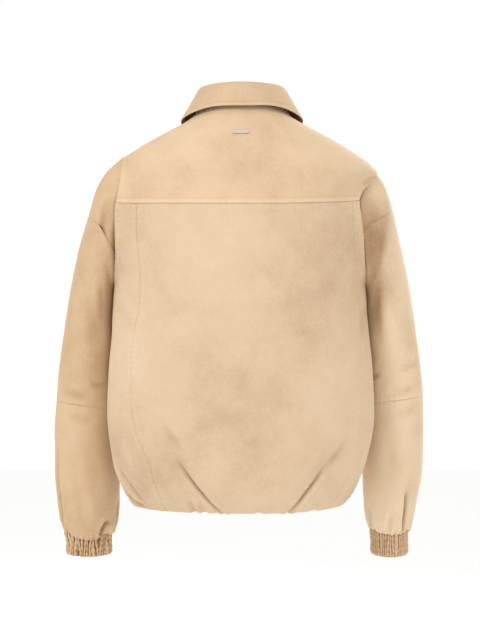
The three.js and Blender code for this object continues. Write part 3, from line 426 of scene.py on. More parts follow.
def shell_mesh(name, outer, normals, thickness, closed):
    rows, columns = outer.shape[:2]
    inner = outer - thickness * normals
    count = rows * columns
    index = np.arange(count).reshape(rows, columns)
    vertices = [outer.reshape(-1, 3), inner.reshape(-1, 3)]
    wrap = np.concatenate([index, index[:, :1]], axis=1) if closed else index
    quads = np.stack([wrap[:-1, :-1], wrap[:-1, 1:], wrap[1:, 1:], wrap[1:, :-1]], axis=-1).reshape(-1, 4)
    faces = [quads, quads[:, ::-1] + count]
    out = outward_of(outer, closed)
    next_vertex = 2 * count
    for border in round_borders_of(rows, columns) if closed else border_of(rows, columns):
        picks = tuple(np.array(border).T)
        middle = (outer[picks] + inner[picks]) / 2
        rings = [index[picks]]
        for angle in RIM_ANGLES:
            up = normals[picks] * math.cos(angle) * thickness / 2
            vertices.append(middle + up + out[picks] * math.sin(angle) * RIM_BULGE)
            rings.append(next_vertex + np.arange(len(border)))
            next_vertex += len(border)
        rings.append(index[picks] + count)
        for a, b in zip(rings[:-1], rings[1:]):
            faces.append(np.stack([a, np.roll(a, -1), np.roll(b, -1), b], axis=-1))
    vertices = np.concatenate(vertices) * MM
    mesh = bpy.data.meshes.new(name)
    mesh.from_pydata(vertices, [], np.concatenate(faces), shade_flat=False)
    return mesh


def make_object(name, mesh, body="jacket"):
    made = bpy.data.objects.new(name, mesh)
    bpy.context.scene.collection.objects.link(made)
    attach(made, body)
    return made


def face_outwards(mesh):
    work = bmesh.new()
    work.from_mesh(mesh)
    bmesh.ops.recalc_face_normals(work, faces=work.faces)
    work.to_mesh(mesh)
    work.free()


def lay_uv(mesh, u, v, vertex_count):
    coordinates = np.zeros((len(mesh.vertices), 2))
    flat = np.stack([u.ravel(), v.ravel()], axis=-1) * MM
    coordinates[:vertex_count] = flat
    coordinates[vertex_count:2 * vertex_count] = flat
    picks = np.zeros(len(mesh.loops), int)
    mesh.loops.foreach_get("vertex_index", picks)
    layer = mesh.uv_layers.new(name="cloth")
    layer.uv.foreach_set("vector", coordinates[picks].astype(np.float32).ravel())


# The value stored here makes the suede paler where it is positive, on raised places as rubbed suede is, and
# darker where it is negative: painted shade in creases, seams, tucks and hollows.
def store_rub_and_shade(mesh, rub_and_shade, vertex_count):
    values = np.zeros(len(mesh.vertices), np.float32)
    values[:vertex_count] = rub_and_shade.ravel()
    values[vertex_count:2 * vertex_count] = INSIDE_RUB
    attribute = mesh.attributes.new("rub_and_shade", "FLOAT", "POINT")
    attribute.data.foreach_set("value", values)


def make_sheet(
    name, outer, facing, closed=False, thickness=SUEDE_THICK, rub_and_shade=None, wall=None
):
    normals = grid_normals(outer, facing, closed)
    mesh = shell_mesh(name, outer, normals if wall is None else wall, thickness, closed)
    face_outwards(mesh)
    u = line_lengths(outer, 1)
    v = line_lengths(outer, 0)
    rows, columns = outer.shape[:2]
    lay_uv(mesh, u, v, rows * columns)
    store_rub_and_shade(mesh, np.zeros((rows, columns)) if rub_and_shade is None else rub_and_shade, rows * columns)
    made = make_object(f"{name}_cloth", mesh)
    if name in frame["nodes"]:
        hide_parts(name)
    sewn[name] = {"object": made, "outer": outer, "normals": normals}


# %% [markdown]
# The back is cut in three: a wide middle panel and two side panels, under a yoke that spans the shoulders.
# The tight hem pulls two long sharp creases into it, and shorter ones at the sides, running down and
# inwards. Positions are given as the width from the middle and the height, so they can be compared with a
# picture. A crease that crosses a seam is drawn on both panels.

# %% Seams and creases of the back
BACK_SEAM_LEFT = [
    (-567, 112), (-536, 123), (-493, 136), (-458, 151), (-423, 160), (-365, 161), (-307, 156), (-271, 149),
    (-242, 148), (-169, 154), (-115, 155),
]
BACK_SEAM_RIGHT = [
    (-567, 128), (-538, 144), (-503, 159), (-452, 171), (-387, 173), (-336, 173), (-263, 171), (-205, 167),
    (-115, 161),
]
ACROSS_SEAM = {
    "left crease": ((186, -498), (162, -530), (134, -566), 6, 3.4, 0.3, 0.25, 0.7),
    "left tuck": ((172, -549), (160, -560), (142, -568), 11, 5.5, 0.35, 0.4, 0.2),
    "right fold": ((-160, -450), (-140, -484), (-112, -512), 2.6, 6, 0.4, 0.4, -0.4),
    "right hollow": ((-156, -456), (-120, -500), (-70, -560), 2.4, 13, 0.5, 0.4, -0.3),
}
BACK_CREASES = [
    ((98, -482), (70, -526), (3, -590), 7.5, 3.2, 0.55, 0.1, 0.75),
    ((104, -476), (82, -512), (30, -566), 2.2, 12, 0.5, 0.4, 0.3),
    ((118, -436), (98, -460), (80, -488), 2.2, 6, 0.4, 0.5, 0.4),
    ACROSS_SEAM["left crease"],
    ACROSS_SEAM["left tuck"],
    ((-122, -498), (-96, -530), (-46, -590), 7.5, 3.4, 0.4, 0.1, -0.75),
    ACROSS_SEAM["right fold"],
    ACROSS_SEAM["right hollow"],
    ((-112, -548), (-106, -560), (-100, -584), 2.4, 6, 0.4, 0.4, 0),
    ((78, -546), (72, -560), (62, -584), 2.6, 4.5, 0.4, 0.3, 0.3),
    ((62, -552), (57, -562), (50, -584), 2.2, 4, 0.4, 0.3, 0.2),
    ((40, -558), (37, -568), (32, -584), 1.6, 4, 0.4, 0.4, -0.2),
    ((14, -462), (12, -490), (4, -520), 1.2, 13, 0.5, 0.5, 0),
    ((-70, -330), (-62, -390), (-66, -450), 1.2, 26, 0.5, 0.5, 0),
    ((60, -300), (54, -360), (62, -420), 1.1, 28, 0.5, 0.5, 0),
    ((140, -232), (108, -262), (70, -286), 1.6, 15, 0.5, 0.5, 0),
    ((-150, -226), (-118, -254), (-84, -280), 1.8, 15, 0.5, 0.5, 0),
    ((-18, -560), (-22, -570), (-28, -584), 1.8, 5, 0.4, 0.4, 0),
]
SIDE_CREASES = [
    ACROSS_SEAM["left crease"],
    ACROSS_SEAM["left tuck"],
    ((190, -470), (178, -494), (160, -520), 2, 8, 0.4, 0.5, 0.3),
    ACROSS_SEAM["right fold"],
    ACROSS_SEAM["right hollow"],
    ((-176, -520), (-162, -548), (-146, -580), 1.5, 9, 0.4, 0.4, -0.3),
    ((186, -262), (172, -286), (160, -318), 2.4, 8, 0.4, 0.5, 0.3),
    ((-182, -262), (-176, -292), (-176, -330), 2.2, 8, 0.4, 0.5, -0.3),
]
seam_x = {"left": curve(*zip(*BACK_SEAM_LEFT)), "right": curve(*zip(*BACK_SEAM_RIGHT))}
print("creases in the middle of the back:", len(BACK_CREASES))


def seam_across(side, row, station):
    z = np.where(station < 0.3, body_columns["zB"][2], row["zB"])
    return across_at(SIDES[side] * seam_x[side](z), row)


# %% Laying a panel of the body
def even_stations(face, start, end, step, fine_start, fine_end):
    dense = np.linspace(start, end, 900)
    row = section(dense)
    y = row["back"] if face > 0 else row["front"]
    z = row["zB"] if face > 0 else row["zF"]
    run = distances(y, z)
    return np.interp(spacing(run[-1], step, fine_start, fine_end) * run[-1], run, dense)


def row_spacing(length, cells):
    edge = EDGE_CELLS * min(1, length / (3 * EDGE_CELLS[-1]))
    middle = np.linspace(edge[-1], length - edge[-1], cells + 1)[1:-1]
    return np.concatenate([edge, middle, length - edge[::-1]])


def even_columns(face, row, start, end, cells):
    dense = np.linspace(0, 1, 280)
    tall = {key: value[:, None] for key, value in row.items()}
    lines = plain_body(face, start[:, None] + (end - start)[:, None] * dense, tall)
    run = line_lengths(lines, 1)
    made = []
    for along, line in zip(run, lines):
        at = row_spacing(along[-1], cells)
        made.append([np.interp(at, along, line[:, k]) for k in range(3)])
    return np.swapaxes(np.array(made), 1, 2)


def straighten_edge(points):
    last = len(EDGE_CELLS)
    share = (EDGE_CELLS / EDGE_CELLS[-1])[None, :, None]
    points[:, :last] = mix(points[:, :1], points[:, last - 1:last], share)
    points[:, -last:] = mix(points[:, -1:], points[:, -last:-last + 1], share[:, ::-1])
    return points


# %% Pressing a panel of the body into shape
BODY_SWELLS = [(0.9, 46, 1), (0.3, 17, 3)]
SHOULDER_CORNER = {"x": 184, "z": -44, "width": 22, "drop": 3.3}
CURVED_LONGER = 1.15
STITCH_DIP = {"depth": 0.35, "width": 1.2, "to_fold": 3}


def panel_side(side):
    return lambda row, station: np.full(station.shape, float(SIDES[side]))


def panel_seam(side):
    return lambda row, station: seam_across(side, row, station)


def body_panel(name, face, stations, from_across, to_across, creases, step, seams, edges, seed, lap=None):
    row = section(stations)
    start = from_across(row, stations)
    end = to_across(row, stations)
    width = float(np.abs(row["left"] * end - row["left"] * start).mean()) * CURVED_LONGER
    cells = max(2, round((width - 2 * EDGE_CELLS[-1]) / step))
    points = straighten_edge(even_columns(face, row, start, end, cells))
    normals = grid_normals(points, face)
    v = np.broadcast_to(cloth_height(face, stations)[:, None], points.shape[:2])
    depth, pull_u, pull_v = crease_field(points[..., 0], v, creases, height_up_cloth)
    down, sideways = slopes(points, False)
    moved = points - depth[..., None] * normals
    moved += pull_u[..., None] * unit(sideways) + pull_v[..., None] * unit(down)
    run_u = line_lengths(points, 1)
    run_v = line_lengths(points, 0)
    to_edge = {
        "first column": run_u, "last column": run_u[:, -1:] - run_u,
        "first row": run_v, "last row": run_v[-1:] - run_v,
    }
    shaped = swells(points[..., 0], v, BODY_SWELLS)
    for number, (edge, strength) in enumerate(seams.items()):
        along = run_v if "column" in edge else run_u
        shaped += seam_shape(to_edge[edge], along, seed + number, strength)
    if lap:
        edge, lift, stitch_at = lap
        shaped -= lift * smooth(1 - to_edge[edge] / (stitch_at + STITCH_DIP["to_fold"]))
        shaped += STITCH_DIP["depth"] * bell((to_edge[edge] - stitch_at) / STITCH_DIP["width"])
    moved -= shaped[..., None] * normals
    corner = bell((points[..., 0] - SHOULDER_CORNER["x"]) / SHOULDER_CORNER["width"])
    corner = corner * bell((points[..., 2] - SHOULDER_CORNER["z"]) / SHOULDER_CORNER["width"])
    moved[..., 2] -= SHOULDER_CORNER["drop"] * corner
    # Painted shade: the suede is darker where creases and seams press in; raised places are paler, as rubbed
    # suede is.
    rub_and_shade = np.clip(-0.35 * shaped - 0.08 * depth, -1, 1)
    make_sheet(name, trim(moved, edges), face, rub_and_shade=rub_and_shade)


# %% The three panels of the back
BACK_STEP = 2.1
TOP_AND_SIDES = ["last row", "first column", "last column"]
below_yoke = even_stations(1, 0, 3, 2.2, False, True)
body_panel(
    "back", 1, below_yoke, panel_seam("right"), panel_seam("left"), BACK_CREASES, BACK_STEP,
    {"first column": 0.1, "last column": 0.35, "last row": 0.5}, TOP_AND_SIDES, 1,
)
body_panel(
    "back_side_left", 1, below_yoke, panel_seam("left"), panel_side("left"), SIDE_CREASES, BACK_STEP,
    {"first column": 0.35, "last column": 0.3, "last row": 0.5}, TOP_AND_SIDES, 2,
)
body_panel(
    "back_side_right", 1, below_yoke, panel_side("right"), panel_seam("right"), SIDE_CREASES, BACK_STEP,
    {"first column": 0.3, "last column": 0.1, "last row": 0.5}, TOP_AND_SIDES, 3,
)

# %% [markdown]
# The yoke laps over the back: its lower edge is turned under, lies on the back panel and is held by one row
# of stitches, so it shows as a pale flat band with a thin shadow beneath. At its right end the armhole
# puckers.

# %% The yoke
YOKE_LIFT = 0.8
YOKE_STITCH = 7.5
YOKE_CREASES = [
    ((-201, -76), (-188, -86), (-172, -101), 2.6, 4, 0.3, 0.4, 0.5),
    ((-196, -92), (-187, -102), (-176, -115), 2.2, 3.5, 0.3, 0.4, 0.5),
    ((120, -72), (70, -84), (20, -78), 1.2, 18, 0.5, 0.5, 0),
    ((-40, -58), (-80, -84), (-130, -86), 1.3, 18, 0.5, 0.5, 0),
]
yoke_stations = even_stations(1, 3, 5, 2.6, True, True)
body_panel(
    "yoke", 1, yoke_stations, panel_side("right"), panel_side("left"), YOKE_CREASES, 2.4,
    {"first column": 0.4, "last column": 0.4, "last row": 0.8}, TOP_AND_SIDES, 4,
    ("first row", YOKE_LIFT, YOKE_STITCH),
)

# %% [markdown]
# The photograph shows only the back, so the two fronts are finished plainly: one panel each from shoulder
# to hem, meeting at a zip, with the same kind of creases running down to the hem.

# %% The fronts
ZIP_GAP = 4.5
FRONT_CREASES = [
    ((136, -478), (104, -524), (52, -588), 9, 8, 0.4, 0.3, 0.6),
    ((172, -506), (154, -534), (122, -582), 6.5, 8, 0.4, 0.3, 0.4),
    ((96, -520), (84, -544), (70, -584), 3.5, 8, 0.4, 0.4, 0.2),
    ((30, -536), (28, -556), (24, -586), 3, 8, 0.4, 0.4, 0),
    ((-126, -484), (-92, -530), (-42, -588), 9, 8, 0.4, 0.3, -0.6),
    ((-170, -498), (-150, -530), (-112, -582), 6.5, 8, 0.4, 0.3, -0.4),
    ((-78, -526), (-70, -550), (-62, -586), 3.2, 8, 0.4, 0.4, -0.2),
    ((168, -226), (130, -256), (84, -276), 2.4, 14, 0.5, 0.5, 0),
    ((-164, -228), (-128, -252), (-88, -280), 2.4, 14, 0.5, 0.5, 0),
    ((70, -330), (64, -390), (72, -450), 1.5, 24, 0.5, 0.5, 0),
    ((-64, -300), (-72, -360), (-60, -430), 1.5, 24, 0.5, 0.5, 0),
]


def zip_side(side):
    return lambda row, station: across_at(np.full(station.shape, SIDES[side] * ZIP_GAP), row)


front_stations = even_stations(-1, 0, 5, 3.2, False, True)
body_panel(
    "front_left", -1, front_stations, zip_side("left"), panel_side("left"), FRONT_CREASES, 2.8,
    {"last column": 1, "last row": 0.8}, ["last row", "last column"], 5,
)
body_panel(
    "front_right", -1, front_stations, panel_side("right"), zip_side("right"), FRONT_CREASES, 2.8,
    {"first column": 1, "last row": 0.8}, ["last row", "first column"], 6,
)

# %% [markdown]
# Each sleeve is a full tube that hangs forward a little and is cut in three: a small cap at the shoulder,
# an upper sleeve and a lower one, joined at the elbow. Rings round the arm carry the form. Angle 0 is the
# outer side, 90 the back, 180 the side next to the body and 270 the front. A place down the sleeve is its
# key: the length in mm along the outer line, from the shoulder.

# %% Sizes of the sleeves
SLEEVE_COLUMNS = ("outX", "outZ", "inX", "inZ", "y", "depth", "lift")
SLEEVES = {
    "left": [
        (181.5, -50, 192, -240, -6, 62, 0), (205, -72, 194.5, -244.5, -8, 66, 4),
        (219, -96.5, 195.5, -250, -11, 68, 8), (231, -135, 195.5, -260, -17, 69, 10),
        (247, -185, 195.5, -281, -30, 68, 8), (259.5, -240, 195, -308, -46, 66, 2),
        (272, -310.5, 194, -345, -60, 63, 0), (281, -367, 193, -385, -70, 61, 0),
        (285.5, -416, 192, -429, -76, 59, 0), (289, -467.5, 190.5, -473.5, -81, 57, 0),
        (289, -519, 189, -521, -84, 54, 0), (286, -564.5, 189.5, -564.5, -84, 50, 0),
        (281, -603, 192.5, -604, -84, 44, -3), (278, -613, 195.5, -615, -84, 38, -8),
        (275, -619, 198.2, -622, -84, 34, -9),
    ],
    "right": [
        (203, -74.5, 185.5, -240, -6, 62, 0), (212, -87.5, 188.5, -244.5, -8, 65, 4),
        (219.5, -105, 189.5, -250, -11, 66, 6), (227.5, -131, 190, -259, -17, 67, 8),
        (240, -181.5, 190, -281, -30, 67, 6), (254.5, -240, 190.5, -308, -46, 65, 2),
        (266.5, -310.5, 191, -345, -60, 62, 0), (274.5, -362, 190.5, -380, -70, 60, 0),
        (279, -408, 190, -421, -76, 58, 0), (280, -467.5, 189, -473.5, -81, 56, 0),
        (279, -522, 187, -522, -84, 54, 0), (271.5, -566.5, 188, -564.5, -84, 51, 0),
        (264.5, -603, 191.5, -601, -84, 46, 0), (262.5, -613, 194, -611, -84, 42, -1),
        (260, -619, 196.2, -617, -84, 39, -2),
    ],
}
CAP_SEAM_ROW = 3
ELBOW_ROW = 8
CAP_BLEND = 40
CAP_MEETS = {"left": 118, "right": 88}
CAP_SEAM_END = 1.2
CAP_SEAM_LOWER = {"left": 14, "right": 0}
CAP_SEAM_CURVE = 0.85
ARM_LOW_ROWS = 7
ARM_HIGH_ROWS = 4

sleeve_columns = {side: columns_of(table, SLEEVE_COLUMNS) for side, table in SLEEVES.items()}
sleeve_keys = {side: distances(c["outX"], c["outZ"]) for side, c in sleeve_columns.items()}
sleeve_curves = {
    side: {name: curve(sleeve_keys[side], values) for name, values in c.items()}
    for side, c in sleeve_columns.items()
}
print("length down the sleeves, mm:", {side: round(float(keys[-1])) for side, keys in sleeve_keys.items()})


# %% The form of a sleeve
def ring_point(side, angle, key):
    at = {name: line(key) for name, line in sleeve_curves[side].items()}
    outwards = (1 + np.cos(angle)) / 2
    sin = np.sin(angle)
    x = SIDES[side] * mix(at["inX"], at["outX"], outwards)
    z = mix(at["inZ"], at["outZ"], outwards) + at["lift"] * sin * sin
    return np.stack(np.broadcast_arrays(x, at["y"] + at["depth"] * sin, z), axis=-1)


def armhole_point(side, angle):
    half = (LOOP_TOP[side] - LOOP_BOTTOM) / 2
    z = LOOP_BOTTOM + half * (1 + np.cos(angle))
    depth = np.where(np.sin(angle) > 0, LOOP_DEPTH[1], LOOP_DEPTH[-1])
    x = SIDES[side] * edge_x[side](z)
    return np.stack(np.broadcast_arrays(x, SHOULDER_Y + depth * np.sin(angle), z), axis=-1)


def plain_sleeve(side, angle, key):
    at_edge = armhole_point(side, angle) - ring_point(side, angle, np.zeros_like(key))
    share = 1 - smooth(key / CAP_BLEND)
    return ring_point(side, angle, key) + at_edge * share[..., None]


def cap_meeting_angle(side):
    low = loop_angle(side, np.linspace(2, 3, ARM_LOW_ROWS + 1))[0]
    high = loop_angle(side, np.linspace(3, 4, ARM_HIGH_ROWS + 1))[0]
    angles = np.concatenate([low, high])
    return float(angles[np.argmin(np.abs(angles - math.radians(CAP_MEETS[side])))])


cap_meets = {side: cap_meeting_angle(side) for side in SIDES}


def toward_cap_corner(side, angle):
    return np.arccos(np.cos(angle)) / cap_meets[side]


def cap_end(side, angle):
    turned = toward_cap_corner(side, angle)
    low = sleeve_keys[side][CAP_SEAM_ROW] + CAP_SEAM_LOWER[side]
    share = np.maximum(np.cos(math.pi / 2 * np.minimum(turned, 1)), 0) ** CAP_SEAM_CURVE
    return np.where(turned > 1.001, 0, mix(CAP_SEAM_END, low, share))


def sleeve_height(side, key):
    at = {name: line(key) for name, line in sleeve_curves[side].items()}
    return (at["inZ"] + at["outZ"]) / 2 + at["lift"]


# %% [markdown]
# The sleeves bend at the elbow, so the cloth bunches there in short creases, and it is full above each cuff,
# where the elastic gathers it into deep pockets. Near the armhole the cap dips under the edge of the body and
# of the upper sleeve, which gives the dark notch that the photograph shows; painted shade on the tucked edge,
# the cap and the armpit darkens it further. Each crease has its angle round the arm and its height. A degree
# round the arm is about a millimetre.

# %% Creases of the sleeves, by angle and height
CAP_CREASES = {
    "left": [
        ((60, -148), (84, -162), (112, -178), 5, 12, 0.4, 0.6, 0.5),
        ((20, -112), (40, -124), (66, -132), 2.2, 12, 0.4, 0.5, 0),
    ],
    "right": [
        ((30, -148), (56, -156), (84, -166), 5, 11, 0.4, 0.6, 0.5),
        ((56, -134), (74, -138), (92, -146), 3, 7, 0.4, 0.5, 0.3),
    ],
}
UPPER_CREASES = {
    "left": [
        ((118, -196), (126, -246), (122, -310), 2.2, 13, 0.4, 0.5, 0),
        ((106, -250), (100, -300), (108, -352), 1.8, 16, 0.4, 0.5, 0),
        ((34, -226), (30, -300), (36, -370), 2, 15, 0.4, 0.5, 0),
        ((30, -404), (70, -416), (112, -404), 3, 7, 0.4, 0.4, 0.3),
        ((96, -384), (124, -394), (150, -384), 2.6, 6, 0.4, 0.4, 0.3),
        ((208, -380), (236, -394), (268, -386), 4, 8, 0.4, 0.4, 0.2),
        ((190, -404), (230, -412), (262, -402), 3.6, 7, 0.4, 0.4, 0.2),
        ((200, -352), (226, -364), (250, -356), 2.6, 9, 0.4, 0.4, 0.2),
        ((300, -250), (310, -310), (300, -370), 2, 15, 0.4, 0.5, 0),
    ],
    "right": [
        ((128, -196), (134, -262), (126, -340), 3.6, 15, 0.4, 0.5, 0),
        ((70, -240), (76, -300), (72, -350), 1.4, 16, 0.5, 0.5, 0),
        ((24, -362), (54, -372), (92, -366), 2.2, 6, 0.4, 0.4, 0.2),
        ((40, -398), (76, -408), (116, -398), 3, 7, 0.4, 0.4, 0.3),
        ((120, -366), (144, -376), (168, -366), 2.4, 6, 0.4, 0.4, 0.2),
        ((208, -374), (236, -388), (268, -380), 4, 8, 0.4, 0.4, 0.2),
        ((196, -396), (230, -404), (266, -396), 3.4, 7, 0.4, 0.4, 0.2),
        ((300, -240), (306, -300), (298, -360), 2, 15, 0.4, 0.5, 0),
    ],
}
LOWER_CREASES = {
    "left": [
        ((33, -478), (31, -540), (40, -614), 7, 6, 0.5, 0.06, -0.75),
        ((34, -590), (37, -602), (41, -618), 6, 5.5, 0.4, 0.1, -0.4),
        ((146, -604), (128, -605), (124, -630), 8, 5.5, 0.4, 0.1, -0.3),
        ((150, -604), (150, -614), (148, -628), -3.5, 10, 0.5, 0.2, 0),
        ((70, -500), (78, -560), (84, -622), 2, 12, 0.5, 0.3, 0),
        ((216, -540), (222, -580), (222, -622), 5.5, 9, 0.4, 0.2, 0.3),
        ((262, -560), (264, -590), (262, -622), 3.4, 8, 0.4, 0.2, 0),
        ((304, -545), (302, -585), (300, -622), 5.5, 9, 0.4, 0.2, -0.3),
        ((168, -560), (170, -590), (172, -622), 3.6, 8, 0.4, 0.2, 0),
        ((54, -438), (84, -450), (120, -440), 2.4, 7, 0.4, 0.4, 0.2),
        ((204, -442), (234, -452), (266, -440), 3, 8, 0.4, 0.4, 0.2),
        ((104, -470), (100, -520), (108, -570), 1.5, 14, 0.5, 0.5, 0),
    ],
    "right": [
        ((62, -548), (65, -584), (62, -618), 10, 6, 0.4, 0.06, -0.55),
        ((54, -505), (64, -560), (62, -618), 2, 11, 0.5, 0.3, -0.3),
        ((92, -585), (96, -603), (100, -620), 3, 6, 0.4, 0.3, 0),
        ((146, -570), (150, -596), (152, -620), 4, 7, 0.4, 0.25, 0.2),
        ((228, -540), (232, -580), (232, -620), 5.5, 9, 0.4, 0.2, 0.3),
        ((272, -560), (272, -590), (270, -620), 3.4, 8, 0.4, 0.2, 0),
        ((312, -540), (310, -584), (310, -620), 5.5, 9, 0.4, 0.2, -0.3),
        ((184, -560), (186, -590), (186, -620), 3.4, 8, 0.4, 0.2, 0),
        ((40, -428), (74, -440), (108, -430), 2.4, 7, 0.4, 0.4, 0.2),
        ((206, -436), (236, -446), (266, -434), 3, 8, 0.4, 0.4, 0.2),
        ((96, -450), (104, -500), (96, -550), 1.6, 15, 0.5, 0.5, 0),
    ],
}


# %% The lip over the cuff
LIP = {"reach": 34, "gathers": 27, "depth": 1.1, "gather_reach": 13}
LIP_LIFTS = {
    "left": [(22, 6.5, 30), (134, 5, 16), (232, 4, 40)],
    "right": [(160, 5, 34), (36, 5, 18), (250, 4, 40)],
}


def lip_gathers(angle, to_lip, seed):
    phase = LIP["gathers"] * angle + 1.6 * np.sin(3 * angle + seed) + 1.1 * np.sin(8 * angle + 2 * seed)
    uneven = 0.6 + 0.4 * np.sin(5 * angle + 1.3 * seed)
    return LIP["depth"] * uneven * np.sin(phase) * smooth(1 - to_lip / LIP["gather_reach"])


def lip_lift(side, degrees):
    lift = 0.5 * np.sin(np.radians(11 * degrees)) + 0.35 * np.sin(np.radians(19 * degrees + 40))
    for at, height, width in LIP_LIFTS[side]:
        lift = lift + height * bell((degrees - at) / width)
    return lift


# %% Edges that dip under their neighbour
UNDER = {"sink": 2.3, "sink_least": 0.5, "reach": 3.0, "dip": 1.3, "dip_reach": 4}
REACH_LEAST = {"cap": 4, "sleeve": 0.25}
EDGE_TUCK = {"left": 0.7, "right": 0.5}
CAP_TOP_TUCK = 0.1
CAP_SEAM_TUCK = {"left": (0.15, 0.55), "right": (0.2, 0.25)}


def at_armhole(side, angle):
    return EDGE_TUCK[side] * smooth((toward_cap_corner(side, angle) - 0.96) / 0.06)


def at_cap_top(side, angle):
    turned = np.abs(np.degrees(angle))
    return mix(CAP_TOP_TUCK, EDGE_TUCK[side], smooth((turned - 25) / 45))


def at_cap_seam(side, angle):
    flat, added = CAP_SEAM_TUCK[side]
    return flat + added * smooth((toward_cap_corner(side, angle) - 0.5) / 0.4)


def tuck_under(points, normals, rub_and_shade, weight, least):
    out = unit(points[0] - points[1])
    lower = UNDER["sink"] * weight[:, None] + UNDER["sink_least"] * (1 - weight[:, None])
    along = mix(least, UNDER["reach"], weight[:, None])
    ring = points[0] + along * out - lower * normals[0]
    points = np.concatenate([ring[None], points])
    normals = np.concatenate([normals[:1], normals])
    # The row tucked under is painted darker: painted shade.
    return points, normals, np.concatenate([rub_and_shade[:1] - 0.3, rub_and_shade])


# %% [markdown]
# A sleeve that hangs beside the body follows it closely. Its inner side comes a few millimetres nearer, and
# behind that the cloth stands out a little, so that no wide gap shows from behind. In the armpit it is pushed
# in. Painted shade darkens a band along this stretch, over the cap and in the armpit, and lower down the band
# turns to painted light that makes the cloth paler. That band is stored with the points, for the material to
# use.

# %% The sleeve beside the body
BESIDE_BODY = {"angle": 150, "width": 26, "fill": 7, "top": -230, "foot": -520}
INNER_SIDE = {"width": 34, "inward": {"left": 3.0, "right": 3.8}, "top": -105, "foot": -350}
ARMPIT = {"angle": 112, "width": 20, "reach": 20, "depth": {"left": 6, "right": 1.5}}
# Painted shade along the inner back of each sleeve, over the cap and in the armpit; lower down it turns to
# painted light.
SLEEVE_SHADE = {
    "left": {"angle": 142, "width": 20, "amount": 0.35, "cap": 0.05, "armpit": 0.6},
    "right": {"angle": 126, "width": 36, "amount": 0.85, "cap": 0.85, "armpit": 0.1},
}
PAINTED_LIGHT_BELOW = -0.45


def in_armpit(degrees, keys):
    return bell((degrees - ARMPIT["angle"]) / ARMPIT["width"]) * bell(keys / ARMPIT["reach"])


def fit_beside_body(moved, side, degrees, height, keys):
    band = bell((degrees - BESIDE_BODY["angle"]) / BESIDE_BODY["width"])
    filled = BESIDE_BODY["fill"] * band * smooth((BESIDE_BODY["top"] - height) / 60)
    moved[..., 1] += filled * smooth((height - BESIDE_BODY["foot"]) / 120)
    inner = bell((degrees - 180) / INNER_SIDE["width"]) * smooth((INNER_SIDE["top"] - height) / 45)
    inner = inner * smooth((height - INNER_SIDE["foot"]) / 60)
    moved[..., 0] -= SIDES[side] * INNER_SIDE["inward"][side] * inner
    moved[..., 1] -= ARMPIT["depth"][side] * in_armpit(degrees, keys)


def painted_sleeve_shade(side, degrees, height, keys):
    at = SLEEVE_SHADE[side]
    lower = mix(PAINTED_LIGHT_BELOW, 1, smooth((height + 320) / 90))
    long = bell((degrees - at["angle"]) / at["width"]) * smooth((-140 - height) / 40) * lower
    cap = bell((degrees - 92) / 44) * smooth((height + 205) / 40)
    return at["amount"] * long + at["cap"] * cap + at["armpit"] * in_armpit(degrees, keys)


# %% Laying a piece of sleeve
SLEEVE_SEED = {"left": 7, "right": 9}
SLEEVE_SWELLS = ((0.8, 40), (0.25, 15))
MM_PER_DEGREE = 0.95


def creases_round(degrees, height, creases, shifts):
    total = [np.zeros(height.shape) for _ in range(3)]
    for shift in shifts:
        for part, added in zip(total, crease_field(degrees + shift, height, creases, lambda z: z)):
            part += added
    return total


